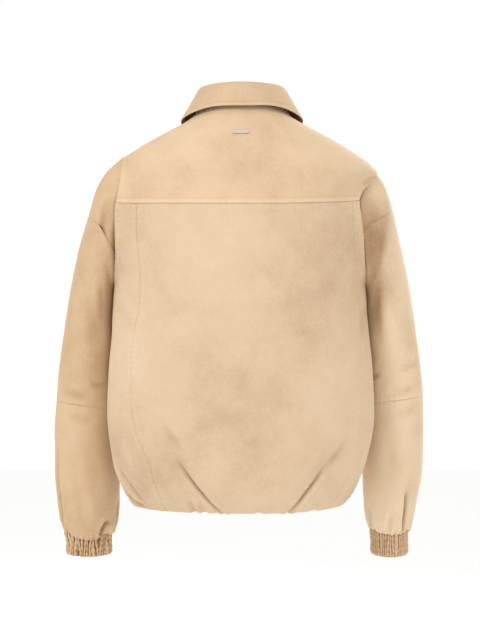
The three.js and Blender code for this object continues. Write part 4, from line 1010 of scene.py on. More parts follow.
def sleeve_grid(
    name, side, angles, from_key, to_key, rows, creases, seams, edges, seed, closed,
    tuck=(), under=(None, None),
):
    start = from_key(angles)
    end = to_key(angles)
    keys = start + (end - start) * rows[:, None]
    turned = np.broadcast_to(angles, keys.shape)
    points = plain_sleeve(side, turned, keys)
    facing = SIDES[side]
    normals = grid_normals(points, facing, closed)
    degrees = np.degrees(turned) % 360
    height = np.broadcast_to(sleeve_height(side, keys), keys.shape)
    shifts = (-360, 0, 360) if closed else (0, -360)
    depth, pull_u, pull_v = creases_round(degrees, height, creases, shifts)
    down, around = slopes(points, closed)
    moved = points - depth[..., None] * normals
    moved += pull_u[..., None] * unit(around) - pull_v[..., None] * unit(down)
    run_v = line_lengths(points, 0)
    run_u = line_lengths(points, 1)
    waves = [(rise, size, SLEEVE_SEED[side]) for rise, size in SLEEVE_SWELLS]
    shaped = swells(degrees * MM_PER_DEGREE, height, waves)
    to_edge = {"first row": run_v, "last row": run_v[-1:] - run_v}
    for number, (edge, strength) in enumerate(seams.items()):
        shaped += seam_shape(to_edge[edge], run_u, seed + number, strength)
    if tuck:
        shaped += lip_gathers(turned, to_edge["last row"], seed)
        moved[..., 2] += lip_lift(side, degrees) * smooth(1 - to_edge["last row"] / LIP["reach"])
    for place, weight in zip(("first row", "last row"), under):
        if weight:
            shaped += UNDER["dip"] * weight(angles) * bell(to_edge[place] / UNDER["dip_reach"])
    moved -= shaped[..., None] * normals
    fit_beside_body(moved, side, degrees, height, keys)
    # Painted shade: darker where creases and seams press in, and in the band beside the body, over the cap
    # and in the armpit. Paler on raised places, as rubbed suede is, and painted light lower down the inner
    # side.
    rub_and_shade = np.clip(-0.3 * shaped - 0.09 * depth - painted_sleeve_shade(side, degrees, height, keys), -1, 1)
    if under[0]:
        least = REACH_LEAST["sleeve" if closed else "cap"]
        moved, normals, rub_and_shade = tuck_under(moved, normals, rub_and_shade, under[0](angles), least)
    if under[1]:
        upside_down = (part[::-1] for part in (moved, normals, rub_and_shade))
        tucked = tuck_under(*upside_down, under[1](angles), REACH_LEAST["sleeve"])
        moved, normals, rub_and_shade = (part[::-1] for part in tucked)
    for inward, up in tuck:
        ring = moved[-1] - inward * normals[-1] * [1, 1, 0] + [0, 0, up]
        moved = np.concatenate([moved, ring[None]])
        normals = np.concatenate([normals, normals[-1:]])
        # Each row tucked under the lip is painted dark: painted shade.
        rub_and_shade = np.concatenate([rub_and_shade, np.full((1, rub_and_shade.shape[1]), -0.6)])
    make_sheet(name, trim(moved, edges), facing, closed, rub_and_shade=rub_and_shade)


# %% The two sleeves
ROUND_COLUMNS = 148
CAP_COLUMNS = 110
CAP_LENGTH = 95
CAP_SHORT = 0.985
ROW_STEP = {"cap": 2.6, "upper": 2.8, "lower": 2.3}
LIP_TUCK = [(1.4, -0.5), (1.0, 1.6), (0.6, 3)]


def build_sleeve(side):
    def cap_line(angles):
        return cap_end(side, angles)

    def line_at_key(key):
        return lambda angles: np.full(angles.shape, float(key))

    elbow = sleeve_keys[side][ELBOW_ROW]
    last = sleeve_keys[side][-1]
    seed = SLEEVE_SEED[side]
    ring = np.linspace(0, 2 * math.pi, ROUND_COLUMNS, endpoint=False)
    reach = cap_meets[side] * CAP_SHORT
    sleeve_grid(
        f"sleeve_cap_{side}", side, np.linspace(-reach, reach, CAP_COLUMNS), line_at_key(0), cap_line,
        spacing(CAP_LENGTH, ROW_STEP["cap"]), CAP_CREASES[side], {}, [], seed, False,
        under=(lambda angles: at_cap_top(side, angles), lambda angles: at_cap_seam(side, angles)),
    )
    sleeve_grid(
        f"sleeve_upper_{side}", side, ring, cap_line, line_at_key(elbow),
        spacing(elbow, ROW_STEP["upper"]), UPPER_CREASES[side], {"first row": 0.3, "last row": 0.2},
        ["last row"], seed + 1, True, under=(lambda angles: at_armhole(side, angles), None),
    )
    sleeve_grid(
        f"sleeve_lower_{side}", side, ring, line_at_key(elbow), line_at_key(last),
        spacing(last - elbow, ROW_STEP["lower"], True, False), LOWER_CREASES[side], {"first row": 0.2},
        ["first row"], seed + 2, True, LIP_TUCK,
    )


for side in SIDES:
    build_sleeve(side)

# %% [markdown]
# The cuffs and the hem band are elastic with suede shirred over it, so they are all small upright gathers.
# Real gathers are never even: they drift, swell and run into each other. Here a wave runs round the ring,
# and its phase and height wander, with round ridges and narrow dark valleys between them.

# %% Gathers over elastic
SEAT = 0.4
CAD_WALL = 2
GATHERED_THICK = 1.1
CUFF_TOP = -606
CUFF_BOTTOM = -655.5
CUFF_RELAX = 0.04
CUFF_FLARE = {"left": 3.4, "right": 1.2}
GATHERS = {"left": 42, "right": 46}
GATHER_COLUMNS = 9
GATHER_DEPTH = {"left": 2.9, "right": 2.3}
GATHER_RUB_AND_SHADE = {"left": (0.3, 1.9), "right": (0.6, 1.7)}
UNEVEN = {"left": 1, "right": 0.55}
CUFF_SEED = {"left": 1.3, "right": 4.1}


def gather_height(angle, t, count, seed, uneven=1):
    drift = 2.0 * np.sin(3 * angle + seed) + 1.3 * np.sin(7 * angle + 2.2 * seed)
    drift = drift + 0.8 * np.sin(13 * angle + seed)
    wander = 1.5 * np.sin(9 * angle + 4.6 * t + seed) + 0.9 * np.sin(17 * angle - 6.5 * t + 2 * seed)
    phase = count * angle + drift + uneven * wander
    half = 0.5 * (count * angle + drift)
    ridge = np.abs(np.sin(phase / 2)) ** 1.05
    deep = 0.8 + 0.3 * uneven * np.sin(half + 5.2 * t + 2 * np.sin(4 * angle + seed))
    beads = 0.14 * np.sin(2 * math.pi * 5.5 * t + 1.4 * np.sin(half) + 1.2 * np.sin(6 * angle))
    return (ridge - 1) * deep + beads


def build_cuff(side):
    at = {name: float(line(sleeve_keys[side][-1])) for name, line in sleeve_curves[side].items()}
    wide = (at["outX"] - at["inX"]) / 2 - CAD_WALL - SEAT
    deep = at["depth"] - CAD_WALL - SEAT
    middle_x = SIDES[side] * (at["outX"] + at["inX"]) / 2
    count = GATHERS[side]
    angle = np.linspace(0, 2 * math.pi, count * GATHER_COLUMNS, endpoint=False)[None, :]
    t = np.concatenate([np.linspace(0, 0.93, 30), [0.955, 0.98, 1]])[:, None]
    ridge = gather_height(angle, t, count, CUFF_SEED[side], UNEVEN[side])
    relax = -CUFF_RELAX * wide * (1 - (2 * t - 1) ** 2)
    channels = 0.5 * bell((t - 0.62) / 0.03) + 0.5 * bell((t - 0.84) / 0.03)
    flare = CUFF_FLARE[side] * (1 + np.cos(angle)) / 2 * bell((t - 0.3) / 0.17)
    out = relax + flare + 0.8 + GATHER_DEPTH[side] * ridge - channels - 2.4 * smooth((t - 0.86) / 0.14) ** 2
    x = middle_x + (wide + out) * np.cos(angle)
    y = at["y"] + (deep + out) * np.sin(angle)
    z = mix(CUFF_TOP, CUFF_BOTTOM, t) - 0.9 * ridge * smooth((t - 0.8) / 0.2)
    z = z + 2.2 * smooth((t - 0.5) / 0.5) * np.cos(angle) ** 2
    outer = np.stack(np.broadcast_arrays(x, y, z), axis=-1)
    radial = unit(np.stack(np.broadcast_arrays(np.cos(angle), np.sin(angle), 0 * t), axis=-1))
    # Painted shade in the valleys between the gathers; the crests are paler, as rubbed suede is.
    level, swing = GATHER_RUB_AND_SHADE[side]
    rub_and_shade = np.clip(level + swing * np.broadcast_to(ridge, x.shape), -1, 1)
    make_sheet(
        f"cuff_{side}", outer, 1, True, GATHERED_THICK, rub_and_shade, radial
    )


for side in SIDES:
    build_cuff(side)

# %% The hem band
BAND = {"height": 26, "side_lift": 4, "gathers": 112, "wave": 2.4, "seed": 2.7}


def build_band():
    turn = np.linspace(0, 2 * math.pi, BAND["gathers"] * 6, endpoint=False)[None, :]
    t = np.concatenate([[0, 0.04, 0.1], np.linspace(0.18, 0.88, 9), [0.94, 1]])[:, None]
    row = {name: float(value) for name, value in section(0.0).items()}
    sin = np.sin(turn)
    cos = np.cos(turn)
    ridge = gather_height(turn, t, BAND["gathers"], BAND["seed"])
    offset = SEAT + 3 * t - BAND["wave"] * ridge + 0.8 * bell((t - 0.5) / 0.07)
    half = np.where(sin > 0, row["left"], row["right"]) - offset
    depth = np.where(cos >= 0, row["back"] - row["sideY"], row["front"] + row["sideY"]) - offset
    top = mix(np.where(cos >= 0, row["zB"], row["zF"]), row["zL"], sin * sin) - SEAM_GAP
    x = np.sign(sin) * half * np.abs(sin) ** row["square"]
    y = row["sideY"] + np.sign(cos) * depth * np.abs(cos)
    z = top - t * (BAND["height"] - BAND["side_lift"] * sin * sin)
    outer = np.stack(np.broadcast_arrays(x, y, z), axis=-1)
    radial = unit(np.stack(np.broadcast_arrays(sin, cos, 0 * t), axis=-1))
    # Painted shade in the valleys between the gathers; the crests are paler, as rubbed suede is.
    rub_and_shade = np.clip(0.3 + 1.3 * np.broadcast_to(ridge, x.shape), -1, 1)
    make_sheet(
        "hem_band", outer, -1, True, GATHERED_THICK, rub_and_shade, radial
    )


build_band()

# %% [markdown]
# The collar is a stand that rises from the neck seam and a leaf that rolls over it and lies on the
# shoulders. The leaf is drawn from above: its edge has a direction and a reach from the middle of the neck.
# It is dropped on the body, a few millimetres clear, so that it throws the thin shadow that the photograph
# shows under it.

# %% Sizes of the collar
FOLD_RING = {"half_width": 62.5, "half_depth": 63, "middle_y": -7, "back": 57, "side": 55, "front": -8}
LEAF_COLUMNS = ("angle", "toward", "reach", "lift")
LEAF_EDGE = [
    (0, 0, 83, 8), (25, 24, 83, 8), (50, 49, 84, 7), (75, 74, 86.5, 6), (95, 96, 88, 5), (120, 118, 92, 5),
    (145, 137, 98, 5), (172, 153, 106, 4),
]
COLLAR_FRONT_ANGLE = 172
LEAF_SWELL = 3
LEAF_SIDE_FLAT = 1.15
STAND_SHARE = 0.97
COLLAR_COLUMNS = 171
COLLAR_STEP = 3
STAND_HEIGHT = 36
LEAF_LENGTH = 46
ROLL_ANGLES = [0, 24, 48, 72, 96, 120, 144]
ROLL = {"out": 2.6, "up": 2.3, "inset": 0.8, "drop": 1.4, "flap": 4.5}
LEAF_STITCH = 6

leaf_columns = columns_of(LEAF_EDGE, LEAF_COLUMNS)
leaf = {name: curve(leaf_columns["angle"], leaf_columns[name]) for name in LEAF_COLUMNS[1:]}


# %% Points on the body below the collar
def body_normal(face, across, station):
    near = section(station)
    left = plain_body(face, np.maximum(across - 0.004, -1), near)
    right = plain_body(face, np.minimum(across + 0.004, 1), near)
    up = plain_body(face, across, section(np.minimum(station + 0.01, 5)))
    down = plain_body(face, across, section(np.maximum(station - 0.01, 0)))
    return unit(np.cross(up - down, right - left) * face)


def body_at_plan(x, y, lift):
    points = np.zeros((len(x), 3))
    for face in (1, -1):
        pick = (y >= SHOULDER_Y) if face > 0 else (y < SHOULDER_Y)
        px, py = x[pick], y[pick]
        low = np.full(px.shape, 2.2)
        high = np.full(px.shape, 5.0)
        for _ in range(30):
            station = (low + high) / 2
            row = section(station)
            beyond = np.abs(px) >= np.where(px > 0, row["left"], row["right"])
            inside = face * plain_body(face, across_at(px, row), row)[..., 1] < face * py
            high = np.where(beyond | inside, station, high)
            low = np.where(beyond | inside, low, station)
        row = section(low)
        across = across_at(px, row)
        points[pick] = plain_body(face, across, row) + body_normal(face, across, low) * lift[pick][:, None]
    return points


def neck_points(angle):
    points = np.zeros((len(angle), 3))
    for face in (1, -1):
        pick = (np.abs(angle) <= 90) if face > 0 else (np.abs(angle) > 90)
        size = np.abs(angle[pick]) if face > 0 else 180 - np.abs(angle[pick])
        across = np.where(angle[pick] < 0, -1, 1) * size / 90
        points[pick] = plain_body(face, across, section(np.full(across.shape, 5.0)))
    return points


def fold_points(angle):
    turn = np.radians(angle)
    cos = np.cos(turn)
    z = mix(FOLD_RING["side"], np.where(cos > 0, FOLD_RING["back"], FOLD_RING["front"]), cos * cos)
    x = FOLD_RING["half_width"] * np.sin(turn)
    return np.stack([x, FOLD_RING["middle_y"] + FOLD_RING["half_depth"] * cos, z], axis=-1)


def leaf_edge_points(angle):
    size = np.abs(angle)
    turn = np.radians(leaf["toward"](size))
    reach = leaf["reach"](size)
    x = np.where(angle < 0, -1, 1) * reach * np.sin(turn)
    return body_at_plan(x, FOLD_RING["middle_y"] + reach * np.cos(turn), leaf["lift"](size))


# %% The collar stand and leaf
def build_collar():
    angle = np.linspace(-COLLAR_FRONT_ANGLE, COLLAR_FRONT_ANGLE, COLLAR_COLUMNS)
    turn = np.radians(angle)
    flat_out = np.stack([np.sin(turn), np.cos(turn), 0 * turn], axis=-1)
    outward = unit(flat_out + [0, 0, 0.4])
    fold = fold_points(angle)
    neck = neck_points(angle) + [0, 0, SEAM_GAP]
    up = np.array([0, 0, 1.0])
    stand_rows = spacing(STAND_HEIGHT, COLLAR_STEP, True, False)[:, None, None] * STAND_SHARE
    stand = mix(neck, fold - flat_out * 0.1, stand_rows)
    make_sheet("collar_stand", trim(stand, ["first row"]), 1)
    centre = fold - flat_out * ROLL["inset"] - up * ROLL["drop"]
    flap = [centre - flat_out * ROLL["out"] - up * drop for drop in (ROLL["flap"], ROLL["flap"] / 2)]
    over = [
        centre - flat_out * ROLL["out"] * math.cos(a) + up * ROLL["up"] * math.sin(a)
        for a in np.radians(ROLL_ANGLES)
    ]
    edge = leaf_edge_points(angle) + outward * CAD_WALL
    t = spacing(LEAF_LENGTH, COLLAR_STEP, False, True)[2:, None, None]
    fullness = (1 - LEAF_SIDE_FLAT * np.sin(turn) ** 2)[None, :, None]
    swelling = LEAF_SWELL * np.sin(math.pi * t**0.6) * fullness
    start = fold + outward * (SEAM_GAP + CAD_WALL)
    lying = mix(start, edge, t) + outward * swelling
    outer = np.concatenate([np.array(flap + over), lying])
    from_edge = line_lengths(outer[::-1], 0)[::-1]
    wave = 0.7 * swell(angle * 1.3, from_edge, 26, 3) + 0.2 * swell(angle * 1.3, from_edge, 9, 5)
    line = 0.45 * bell((from_edge - LEAF_STITCH) / 1.2) - 0.35 * bell((from_edge - 2.5) / 2)
    fading = smooth((from_edge.max() - from_edge - 12) / 12)
    normals = grid_normals(outer, -1)
    outer = outer + ((wave - line) * fading)[..., None] * normals
    # Darker in the stitch groove, which is painted shade; paler at the rolled edge, as rubbed suede is, and
    # varying a little with the swells.
    rub_and_shade = np.clip(-0.5 * line + 0.15 * wave, -1, 1)
    make_sheet("collar_leaf", outer, -1, rub_and_shade=rub_and_shade)


build_collar()

# %% [markdown]
# The zip lies behind the two front edges: a woven tape with two rows of metal teeth that mesh in the
# middle. Each tooth is a small chamfered block, set in turn from the left and from the right along the
# front's curve.

# %% The line of the zip
ZIP = {"tape_half": 12, "tape_thick": 1.0, "top": -46, "pitch": 1.7}
TAPE_GRID = (190, 17)
TOOTH = {"size": (3.1, 1.0, 1.7), "chamfer": 0.25, "aside": 0.9, "behind": 1.05}
SIDEWAYS = np.array([1.0, 0, 0])


def zip_line(count):
    dense = np.linspace(0.07, 5, 1200)
    row = section(dense)
    points = plain_body(-1, np.zeros(dense.shape), row)
    keep = points[:, 2] <= ZIP["top"]
    keep |= dense < 2
    points = points[keep]
    run = line_lengths(points, 0)
    at = np.linspace(0, run[-1], count)
    line = np.stack([np.interp(at, run, points[:, k]) for k in range(3)], axis=-1)
    up = unit(np.gradient(line, axis=0))
    out = unit(np.cross(SIDEWAYS, up))
    return line, up, out, run[-1]


def build_tape():
    line, _, out, _ = zip_line(TAPE_GRID[0])
    across = np.linspace(-ZIP["tape_half"], ZIP["tape_half"], TAPE_GRID[1])
    behind = CAD_WALL + SEAM_GAP
    rib = 0.25 * bell((np.abs(across) - 4.4) / 0.9)
    points = line[:, None] + across[None, :, None] * SIDEWAYS
    points = points - (behind - rib)[None, :, None] * out[:, None]
    make_sheet("zip_tape", points, -1, False, ZIP["tape_thick"])


def ring_faces(rings, sides):
    quads = []
    for k in range(rings - 1):
        for j in range(sides):
            beside = (j + 1) % sides
            quads.append([k * sides + j, k * sides + beside, (k + 1) * sides + beside, (k + 1) * sides + j])
    caps = [list(range(sides - 1, -1, -1)), list(range((rings - 1) * sides, rings * sides))]
    return quads + caps


def chamfered_block(size, chamfer):
    x, y, z = (value / 2 for value in size)
    corners = [
        (-x + chamfer, -y), (x - chamfer, -y), (x, -y + chamfer), (x, y - chamfer), (x - chamfer, y),
        (-x + chamfer, y), (-x, y - chamfer), (-x, -y + chamfer),
    ]
    shrunk = [(a * (1 - chamfer / x), b * (1 - chamfer / y)) for a, b in corners]
    levels = [(-z, shrunk), (-z + chamfer, corners), (z - chamfer, corners), (z, shrunk)]
    vertices = np.array([(a, b, level) for level, ring in levels for a, b in ring])
    return vertices, ring_faces(len(levels), len(corners))


def build_teeth():
    long = zip_line(10)[3]
    count = int(long / ZIP["pitch"])
    line, up, out, _ = zip_line(count)
    vertices, faces = chamfered_block(TOOTH["size"], TOOTH["chamfer"])
    all_vertices = []
    all_faces = []
    for i in range(count):
        shift = TOOTH["aside"] if i % 2 else -TOOTH["aside"]
        local = vertices + [shift, 0, 0]
        placed = line[i] + local[:, :1] * SIDEWAYS + local[:, 1:2] * up[i]
        all_vertices.append(placed + (local[:, 2:] - TOOTH["behind"]) * out[i])
        all_faces += [[index + len(vertices) * i for index in face] for face in faces]
    mesh = bpy.data.meshes.new("zip_teeth")
    mesh.from_pydata(np.concatenate(all_vertices) * MM, [], all_faces)
    face_outwards(mesh)
    made = make_object("zip_teeth", mesh)
    print("zip teeth:", count)
    return made


build_tape()
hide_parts("zip")
teeth = build_teeth()

# %% [markdown]
# Stitches are laid as short arched bits of thread that dip into the suede at both ends. They follow a line
# of the finished grid at a set distance from its edge. On the yoke and the collar that is where a fine
# groove was pressed in for them.

# %% Rows of stitches
STITCH = {"pitch": 3.6, "length": 2.7, "radius": 0.3, "sides": 6}
STITCH_ARCH = [(-0.5, -0.28, 0.5), (-0.3, 0.12, 0.95), (0.0, 0.22, 1.0), (0.3, 0.12, 0.95), (0.5, -0.28, 0.5)]


def resample(points, step):
    run = line_lengths(points, 0)
    at = np.arange(step / 2, run[-1], step)
    return np.stack([np.interp(at, run, points[:, k]) for k in range(3)], axis=-1)


def stitch_row(name, points, normals):
    start = resample(points, STITCH["pitch"])
    facing = unit(nearest_normals(points, normals, start))
    along = unit(np.gradient(start, axis=0))
    aside = unit(np.cross(along, facing))
    turns = np.linspace(0, 2 * math.pi, STITCH["sides"], endpoint=False)
    vertices = []
    for place, height, share in STITCH_ARCH:
        middle = start + along * (place * STITCH["length"]) + facing * height
        radius = share * STITCH["radius"]
        for turn in turns:
            vertices.append(middle + radius * (math.cos(turn) * aside + math.sin(turn) * facing))
    vertices = np.stack(vertices, axis=1)
    per_stitch = vertices.shape[1]
    one_stitch = ring_faces(len(STITCH_ARCH), STITCH["sides"])
    faces = [[index + per_stitch * i for index in face] for i in range(len(start)) for face in one_stitch]
    mesh = bpy.data.meshes.new(name)
    mesh.from_pydata(vertices.reshape(-1, 3) * MM, [], faces, shade_flat=False)
    face_outwards(mesh)
    print(f"{name}: {len(start)} stitches")
    return make_object(name, mesh)


def nearest_normals(points, normals, places):
    gaps = np.linalg.norm(points[None, :, :] - places[:, None, :], axis=-1)
    return normals[np.argmin(gaps, axis=1)]


def line_at(piece, edge, distance):
    outer, normals = piece["outer"], piece["normals"]
    if "column" in edge:
        outer, normals = outer.swapaxes(0, 1), normals.swapaxes(0, 1)
    if "last" in edge:
        outer, normals = outer[::-1], normals[::-1]
    run = line_lengths(outer, 0)
    lines = []
    ways = []
    for j in range(outer.shape[1]):
        lines.append([np.interp(distance, run[:, j], outer[:, j, k]) for k in range(3)])
        ways.append([np.interp(distance, run[:, j], normals[:, j, k]) for k in range(3)])
    return np.array(lines), unit(np.array(ways))


FRONT_STITCH = 6
STITCHED = [
    ("stitches_yoke", "yoke", "first row", YOKE_STITCH),
    ("stitches_collar", "collar_leaf", "last row", LEAF_STITCH),
    ("stitches_front_left", "front_left", "first column", FRONT_STITCH),
    ("stitches_front_right", "front_right", "last column", FRONT_STITCH),
]
stitches = []
for name, piece, edge, distance in STITCHED:
    stitches.append(stitch_row(name, *line_at(sewn[piece], edge, distance)))

# %% [markdown]
# Suede has no weave: it is a short nap of fibres that stands up unevenly. Its colour drifts in broad soft
# patches where the nap has been brushed and is paler where it is rubbed; painted shade makes it darker in the
# folds, seams and hollows, and it hardly shines. One group makes that colour, roughness and height from noise
# fixed to the cloth and from the value stored with the points, and each material sets it up with its own
# values.

# %% Helpers for shader nodes
def colour(r, g, b):
    linear = [((v / 255 + 0.055) / 1.055) ** 2.4 if v > 10 else v / 255 / 12.92 for v in (r, g, b)]
    return (*linear, 1.0)


def new_group(name, inputs, outputs):
    group = bpy.data.node_groups.new(name, "ShaderNodeTree")
    kinds = {"value": "NodeSocketFloat", "colour": "NodeSocketColor", "vector": "NodeSocketVector"}
    for label, kind, default in inputs:
        socket = group.interface.new_socket(label, in_out="INPUT", socket_type=kinds[kind])
        if default is not None:
            socket.default_value = default
    for label, kind in outputs:
        group.interface.new_socket(label, in_out="OUTPUT", socket_type=kinds[kind])
    return group, group.nodes.new("NodeGroupInput"), group.nodes.new("NodeGroupOutput")


def noise(tree, vector, scale, detail=3.0, rough=0.55):
    node = tree.nodes.new("ShaderNodeTexNoise")
    node.inputs["Scale"].default_value = scale
    node.inputs["Detail"].default_value = detail
    node.inputs["Roughness"].default_value = rough
    tree.links.new(vector, node.inputs["Vector"])
    return node.outputs["Fac"]


def maths(tree, kind, a, b):
    node = tree.nodes.new("ShaderNodeMath")
    node.operation = kind
    for socket, value in zip(node.inputs, (a, b)):
        if isinstance(value, (int, float)):
            socket.default_value = value
        else:
            tree.links.new(value, socket)
    return node.outputs[0]


def spread(tree, value, low, high, to_low, to_high):
    node = tree.nodes.new("ShaderNodeMapRange")
    tree.links.new(value, node.inputs["Value"])
    for label, number in (("From Min", low), ("From Max", high), ("To Min", to_low), ("To Max", to_high)):
        node.inputs[label].default_value = number
    return node.outputs["Result"]


def mix_colours(tree, share, a, b):
    node = tree.nodes.new("ShaderNodeMix")
    node.data_type = "RGBA"
    for socket, value in ((node.inputs[0], share), (node.inputs[6], a), (node.inputs[7], b)):
        if isinstance(value, (tuple, int, float)):
            socket.default_value = value
        else:
            tree.links.new(value, socket)
    return node.outputs[2]


# %% The nap of suede
def nap_group():
    inputs = [
        ("Vector", "vector", None), ("Colour", "colour", None), ("Deep", "colour", None),
        ("Pale", "colour", None), ("Rub and shade", "value", 0.0), ("Patches", "value", 1.0),
    ]
    outputs = [("Colour", "colour"), ("Roughness", "value"), ("Height", "value")]
    group, given, made = new_group("Nap", inputs, outputs)
    place = given.outputs["Vector"]
    broad = noise(group, place, 7, 2)
    middle = noise(group, place, 34, 3)
    small = noise(group, place, 180, 4, 0.6)
    fine = noise(group, place, 1500, 3, 0.6)
    drift = spread(group, broad, 0.3, 0.7, -0.5, 0.5)
    drift = maths(group, "ADD", drift, spread(group, middle, 0.3, 0.7, -0.4, 0.4))
    drift = maths(group, "ADD", drift, spread(group, small, 0.3, 0.7, -0.28, 0.28))
    drift = maths(group, "MULTIPLY", drift, given.outputs["Patches"])
    grain = spread(group, fine, 0.3, 0.7, -0.14, 0.14)
    # The stored value brings painted shade from folds, seams and hollows as well as paleness from rubbing;
    # with the patches it sets how far the colour goes toward the deep or the pale colour.
    rubbed_and_shaded = maths(group, "MULTIPLY", given.outputs["Rub and shade"], 1.3)
    worn_and_shaded = maths(group, "ADD", maths(group, "ADD", drift, grain), rubbed_and_shaded)
    darker = spread(group, worn_and_shaded, 0, -1.6, 0, 1)
    paler = spread(group, worn_and_shaded, 0, 1.6, 0, 1)
    dark = mix_colours(group, darker, given.outputs["Colour"], given.outputs["Deep"])
    pale = mix_colours(group, paler, dark, given.outputs["Pale"])
    group.links.new(pale, made.inputs["Colour"])
    group.links.new(spread(group, worn_and_shaded, -1, 1, 0.98, 0.86), made.inputs["Roughness"])
    height = maths(group, "ADD", maths(group, "MULTIPLY", fine, 0.35), maths(group, "MULTIPLY", small, 0.65))
    group.links.new(height, made.inputs["Height"])
    return group


nap = nap_group()
print("nodes in the nap:", len(nap.nodes))


# %% Materials of the suede
SHINE = {"specular": 0.12, "sheen": 0.25, "sheen_rough": 0.5}


def new_material(name):
    material = bpy.data.materials.new(name)
    material.use_nodes = True
    tree = material.node_tree
    return material, tree, tree.nodes["Principled BSDF"]


def place_on_cloth(tree):
    return tree.nodes.new("ShaderNodeTexCoord").outputs["Object"]


def bump(tree, shader, height, strength, distance):
    node = tree.nodes.new("ShaderNodeBump")
    node.inputs["Strength"].default_value = strength
    node.inputs["Distance"].default_value = distance
    tree.links.new(height, node.inputs["Height"])
    tree.links.new(node.outputs["Normal"], shader.inputs["Normal"])


def suede_material(name, main, deep, pale, patches):
    material, tree, shader = new_material(name)
    use = tree.nodes.new("ShaderNodeGroup")
    use.node_tree = nap
    use.inputs["Colour"].default_value = colour(*main)
    use.inputs["Deep"].default_value = colour(*deep)
    use.inputs["Pale"].default_value = colour(*pale)
    use.inputs["Patches"].default_value = patches
    tree.links.new(place_on_cloth(tree), use.inputs["Vector"])
    # The stored value carries painted shade as well as rubbing.
    worn_and_shaded = tree.nodes.new("ShaderNodeAttribute")
    worn_and_shaded.attribute_name = "rub_and_shade"
    tree.links.new(worn_and_shaded.outputs["Fac"], use.inputs["Rub and shade"])
    tree.links.new(use.outputs["Colour"], shader.inputs["Base Color"])
    tree.links.new(use.outputs["Roughness"], shader.inputs["Roughness"])
    shader.inputs["Specular IOR Level"].default_value = SHINE["specular"]
    shader.inputs["Sheen Weight"].default_value = SHINE["sheen"]
    shader.inputs["Sheen Roughness"].default_value = SHINE["sheen_rough"]
    shader.inputs["Sheen Tint"].default_value = colour(*pale)
    bump(tree, shader, use.outputs["Height"], 0.35, 0.0006)
    return material


# The deep colour of each suede is what the painted shade in folds and hollows leads to, and the darker
# patches of nap; the gathers have the darkest, for the painted shade in their valleys.
SUEDE_COLOURS = {
    "body": ((197, 172, 142), (138, 106, 74), (221, 199, 172), 0.34),
    "yoke": ((201, 174, 142), (141, 109, 74), (223, 200, 171), 0.32),
    # The collar is a darker copy of the yoke's suede: painted shade that offsets the stronger light on its
    # top.
    "collar": ((193, 167, 135), (134, 102, 70), (216, 193, 164), 0.3),
    "left sleeve": ((193, 165, 131), (132, 99, 67), (216, 191, 160), 0.34),
    "right sleeve": ((209, 185, 153), (142, 110, 78), (228, 208, 180), 0.34),
    "gathers": ((190, 159, 124), (104, 75, 49), (208, 180, 148), 0.25),
}
SUEDE = {kind: suede_material(f"suede {kind}", *values) for kind, values in SUEDE_COLOURS.items()}
WEARS = {
    "yoke": "yoke", "collar_stand": "collar", "collar_leaf": "collar",
    "cuff_left": "gathers", "cuff_right": "gathers", "hem_band": "gathers",
}
for name, piece in sewn.items():
    sleeve = "left sleeve" if name.endswith("left") else "right sleeve"
    kind = WEARS.get(name, sleeve if name.startswith("sleeve") else "body")
    piece["object"].data.materials.append(SUEDE[kind])
print("suedes:", ", ".join(SUEDE))

# %% [markdown]
# The rest is small: thread close to the suede in colour, a woven tape, and metal with fine brushed
# scratches.

# %% Thread and tape
def wear(made, material):
    made.data.materials.clear()
    made.data.materials.append(material)


def thread_material():
    material, tree, shader = new_material("thread")
    shader.inputs["Roughness"].default_value = 0.7
    strand = noise(tree, place_on_cloth(tree), 2400, 2)
    spun = mix_colours(tree, strand, colour(196, 160, 120), colour(226, 196, 160))
    tree.links.new(spun, shader.inputs["Base Color"])
    return material


def tape_material():
    material, tree, shader = new_material("zip tape")
    shader.inputs["Roughness"].default_value = 0.85
    waves = tree.nodes.new("ShaderNodeTexWave")
    waves.inputs["Scale"].default_value = 320
    waves.bands_direction = "Z"
    tree.links.new(place_on_cloth(tree), waves.inputs["Vector"])
    woven = mix_colours(tree, waves.outputs["Fac"], colour(158, 122, 86), colour(178, 142, 104))
    tree.links.new(woven, shader.inputs["Base Color"])
    bump(tree, shader, waves.outputs["Fac"], 0.3, 0.0004)
    return material


thread = thread_material()
for row in stitches:
    wear(row, thread)
wear(sewn["zip_tape"]["object"], tape_material())
print("thread on", len(stitches), "rows of stitches")


# %% Brushed metal
def scratch_group():
    group, given, made = new_group(
        "Brushed", [("Vector", "vector", None), ("Stretch", "vector", (1, 1, 1))],
        [("Roughness", "value"), ("Height", "value")],
    )
    stretched = group.nodes.new("ShaderNodeVectorMath")
    stretched.operation = "MULTIPLY"
    group.links.new(given.outputs["Vector"], stretched.inputs[0])
    group.links.new(given.outputs["Stretch"], stretched.inputs[1])
    lines = noise(group, stretched.outputs[0], 900, 4, 0.6)
    group.links.new(spread(group, lines, 0.3, 0.7, 0.26, 0.44), made.inputs["Roughness"])
    group.links.new(lines, made.inputs["Height"])
    return group


brushed = scratch_group()


def metal_material(name, tone, stretch):
    material, tree, shader = new_material(name)
    use = tree.nodes.new("ShaderNodeGroup")
    use.node_tree = brushed
    use.inputs["Stretch"].default_value = stretch
    tree.links.new(place_on_cloth(tree), use.inputs["Vector"])
    shader.inputs["Base Color"].default_value = colour(*tone)
    shader.inputs["Metallic"].default_value = 1.0
    tree.links.new(use.outputs["Roughness"], shader.inputs["Roughness"])
    bump(tree, shader, use.outputs["Height"], 0.12, 0.0002)
    return material


METAL = {
    "bar": metal_material("bar metal", (206, 198, 186), (0.06, 1, 1)),
    "zip": metal_material("zip metal", (196, 190, 180), (1, 1, 0.1)),
}
wear(teeth, METAL["zip"])


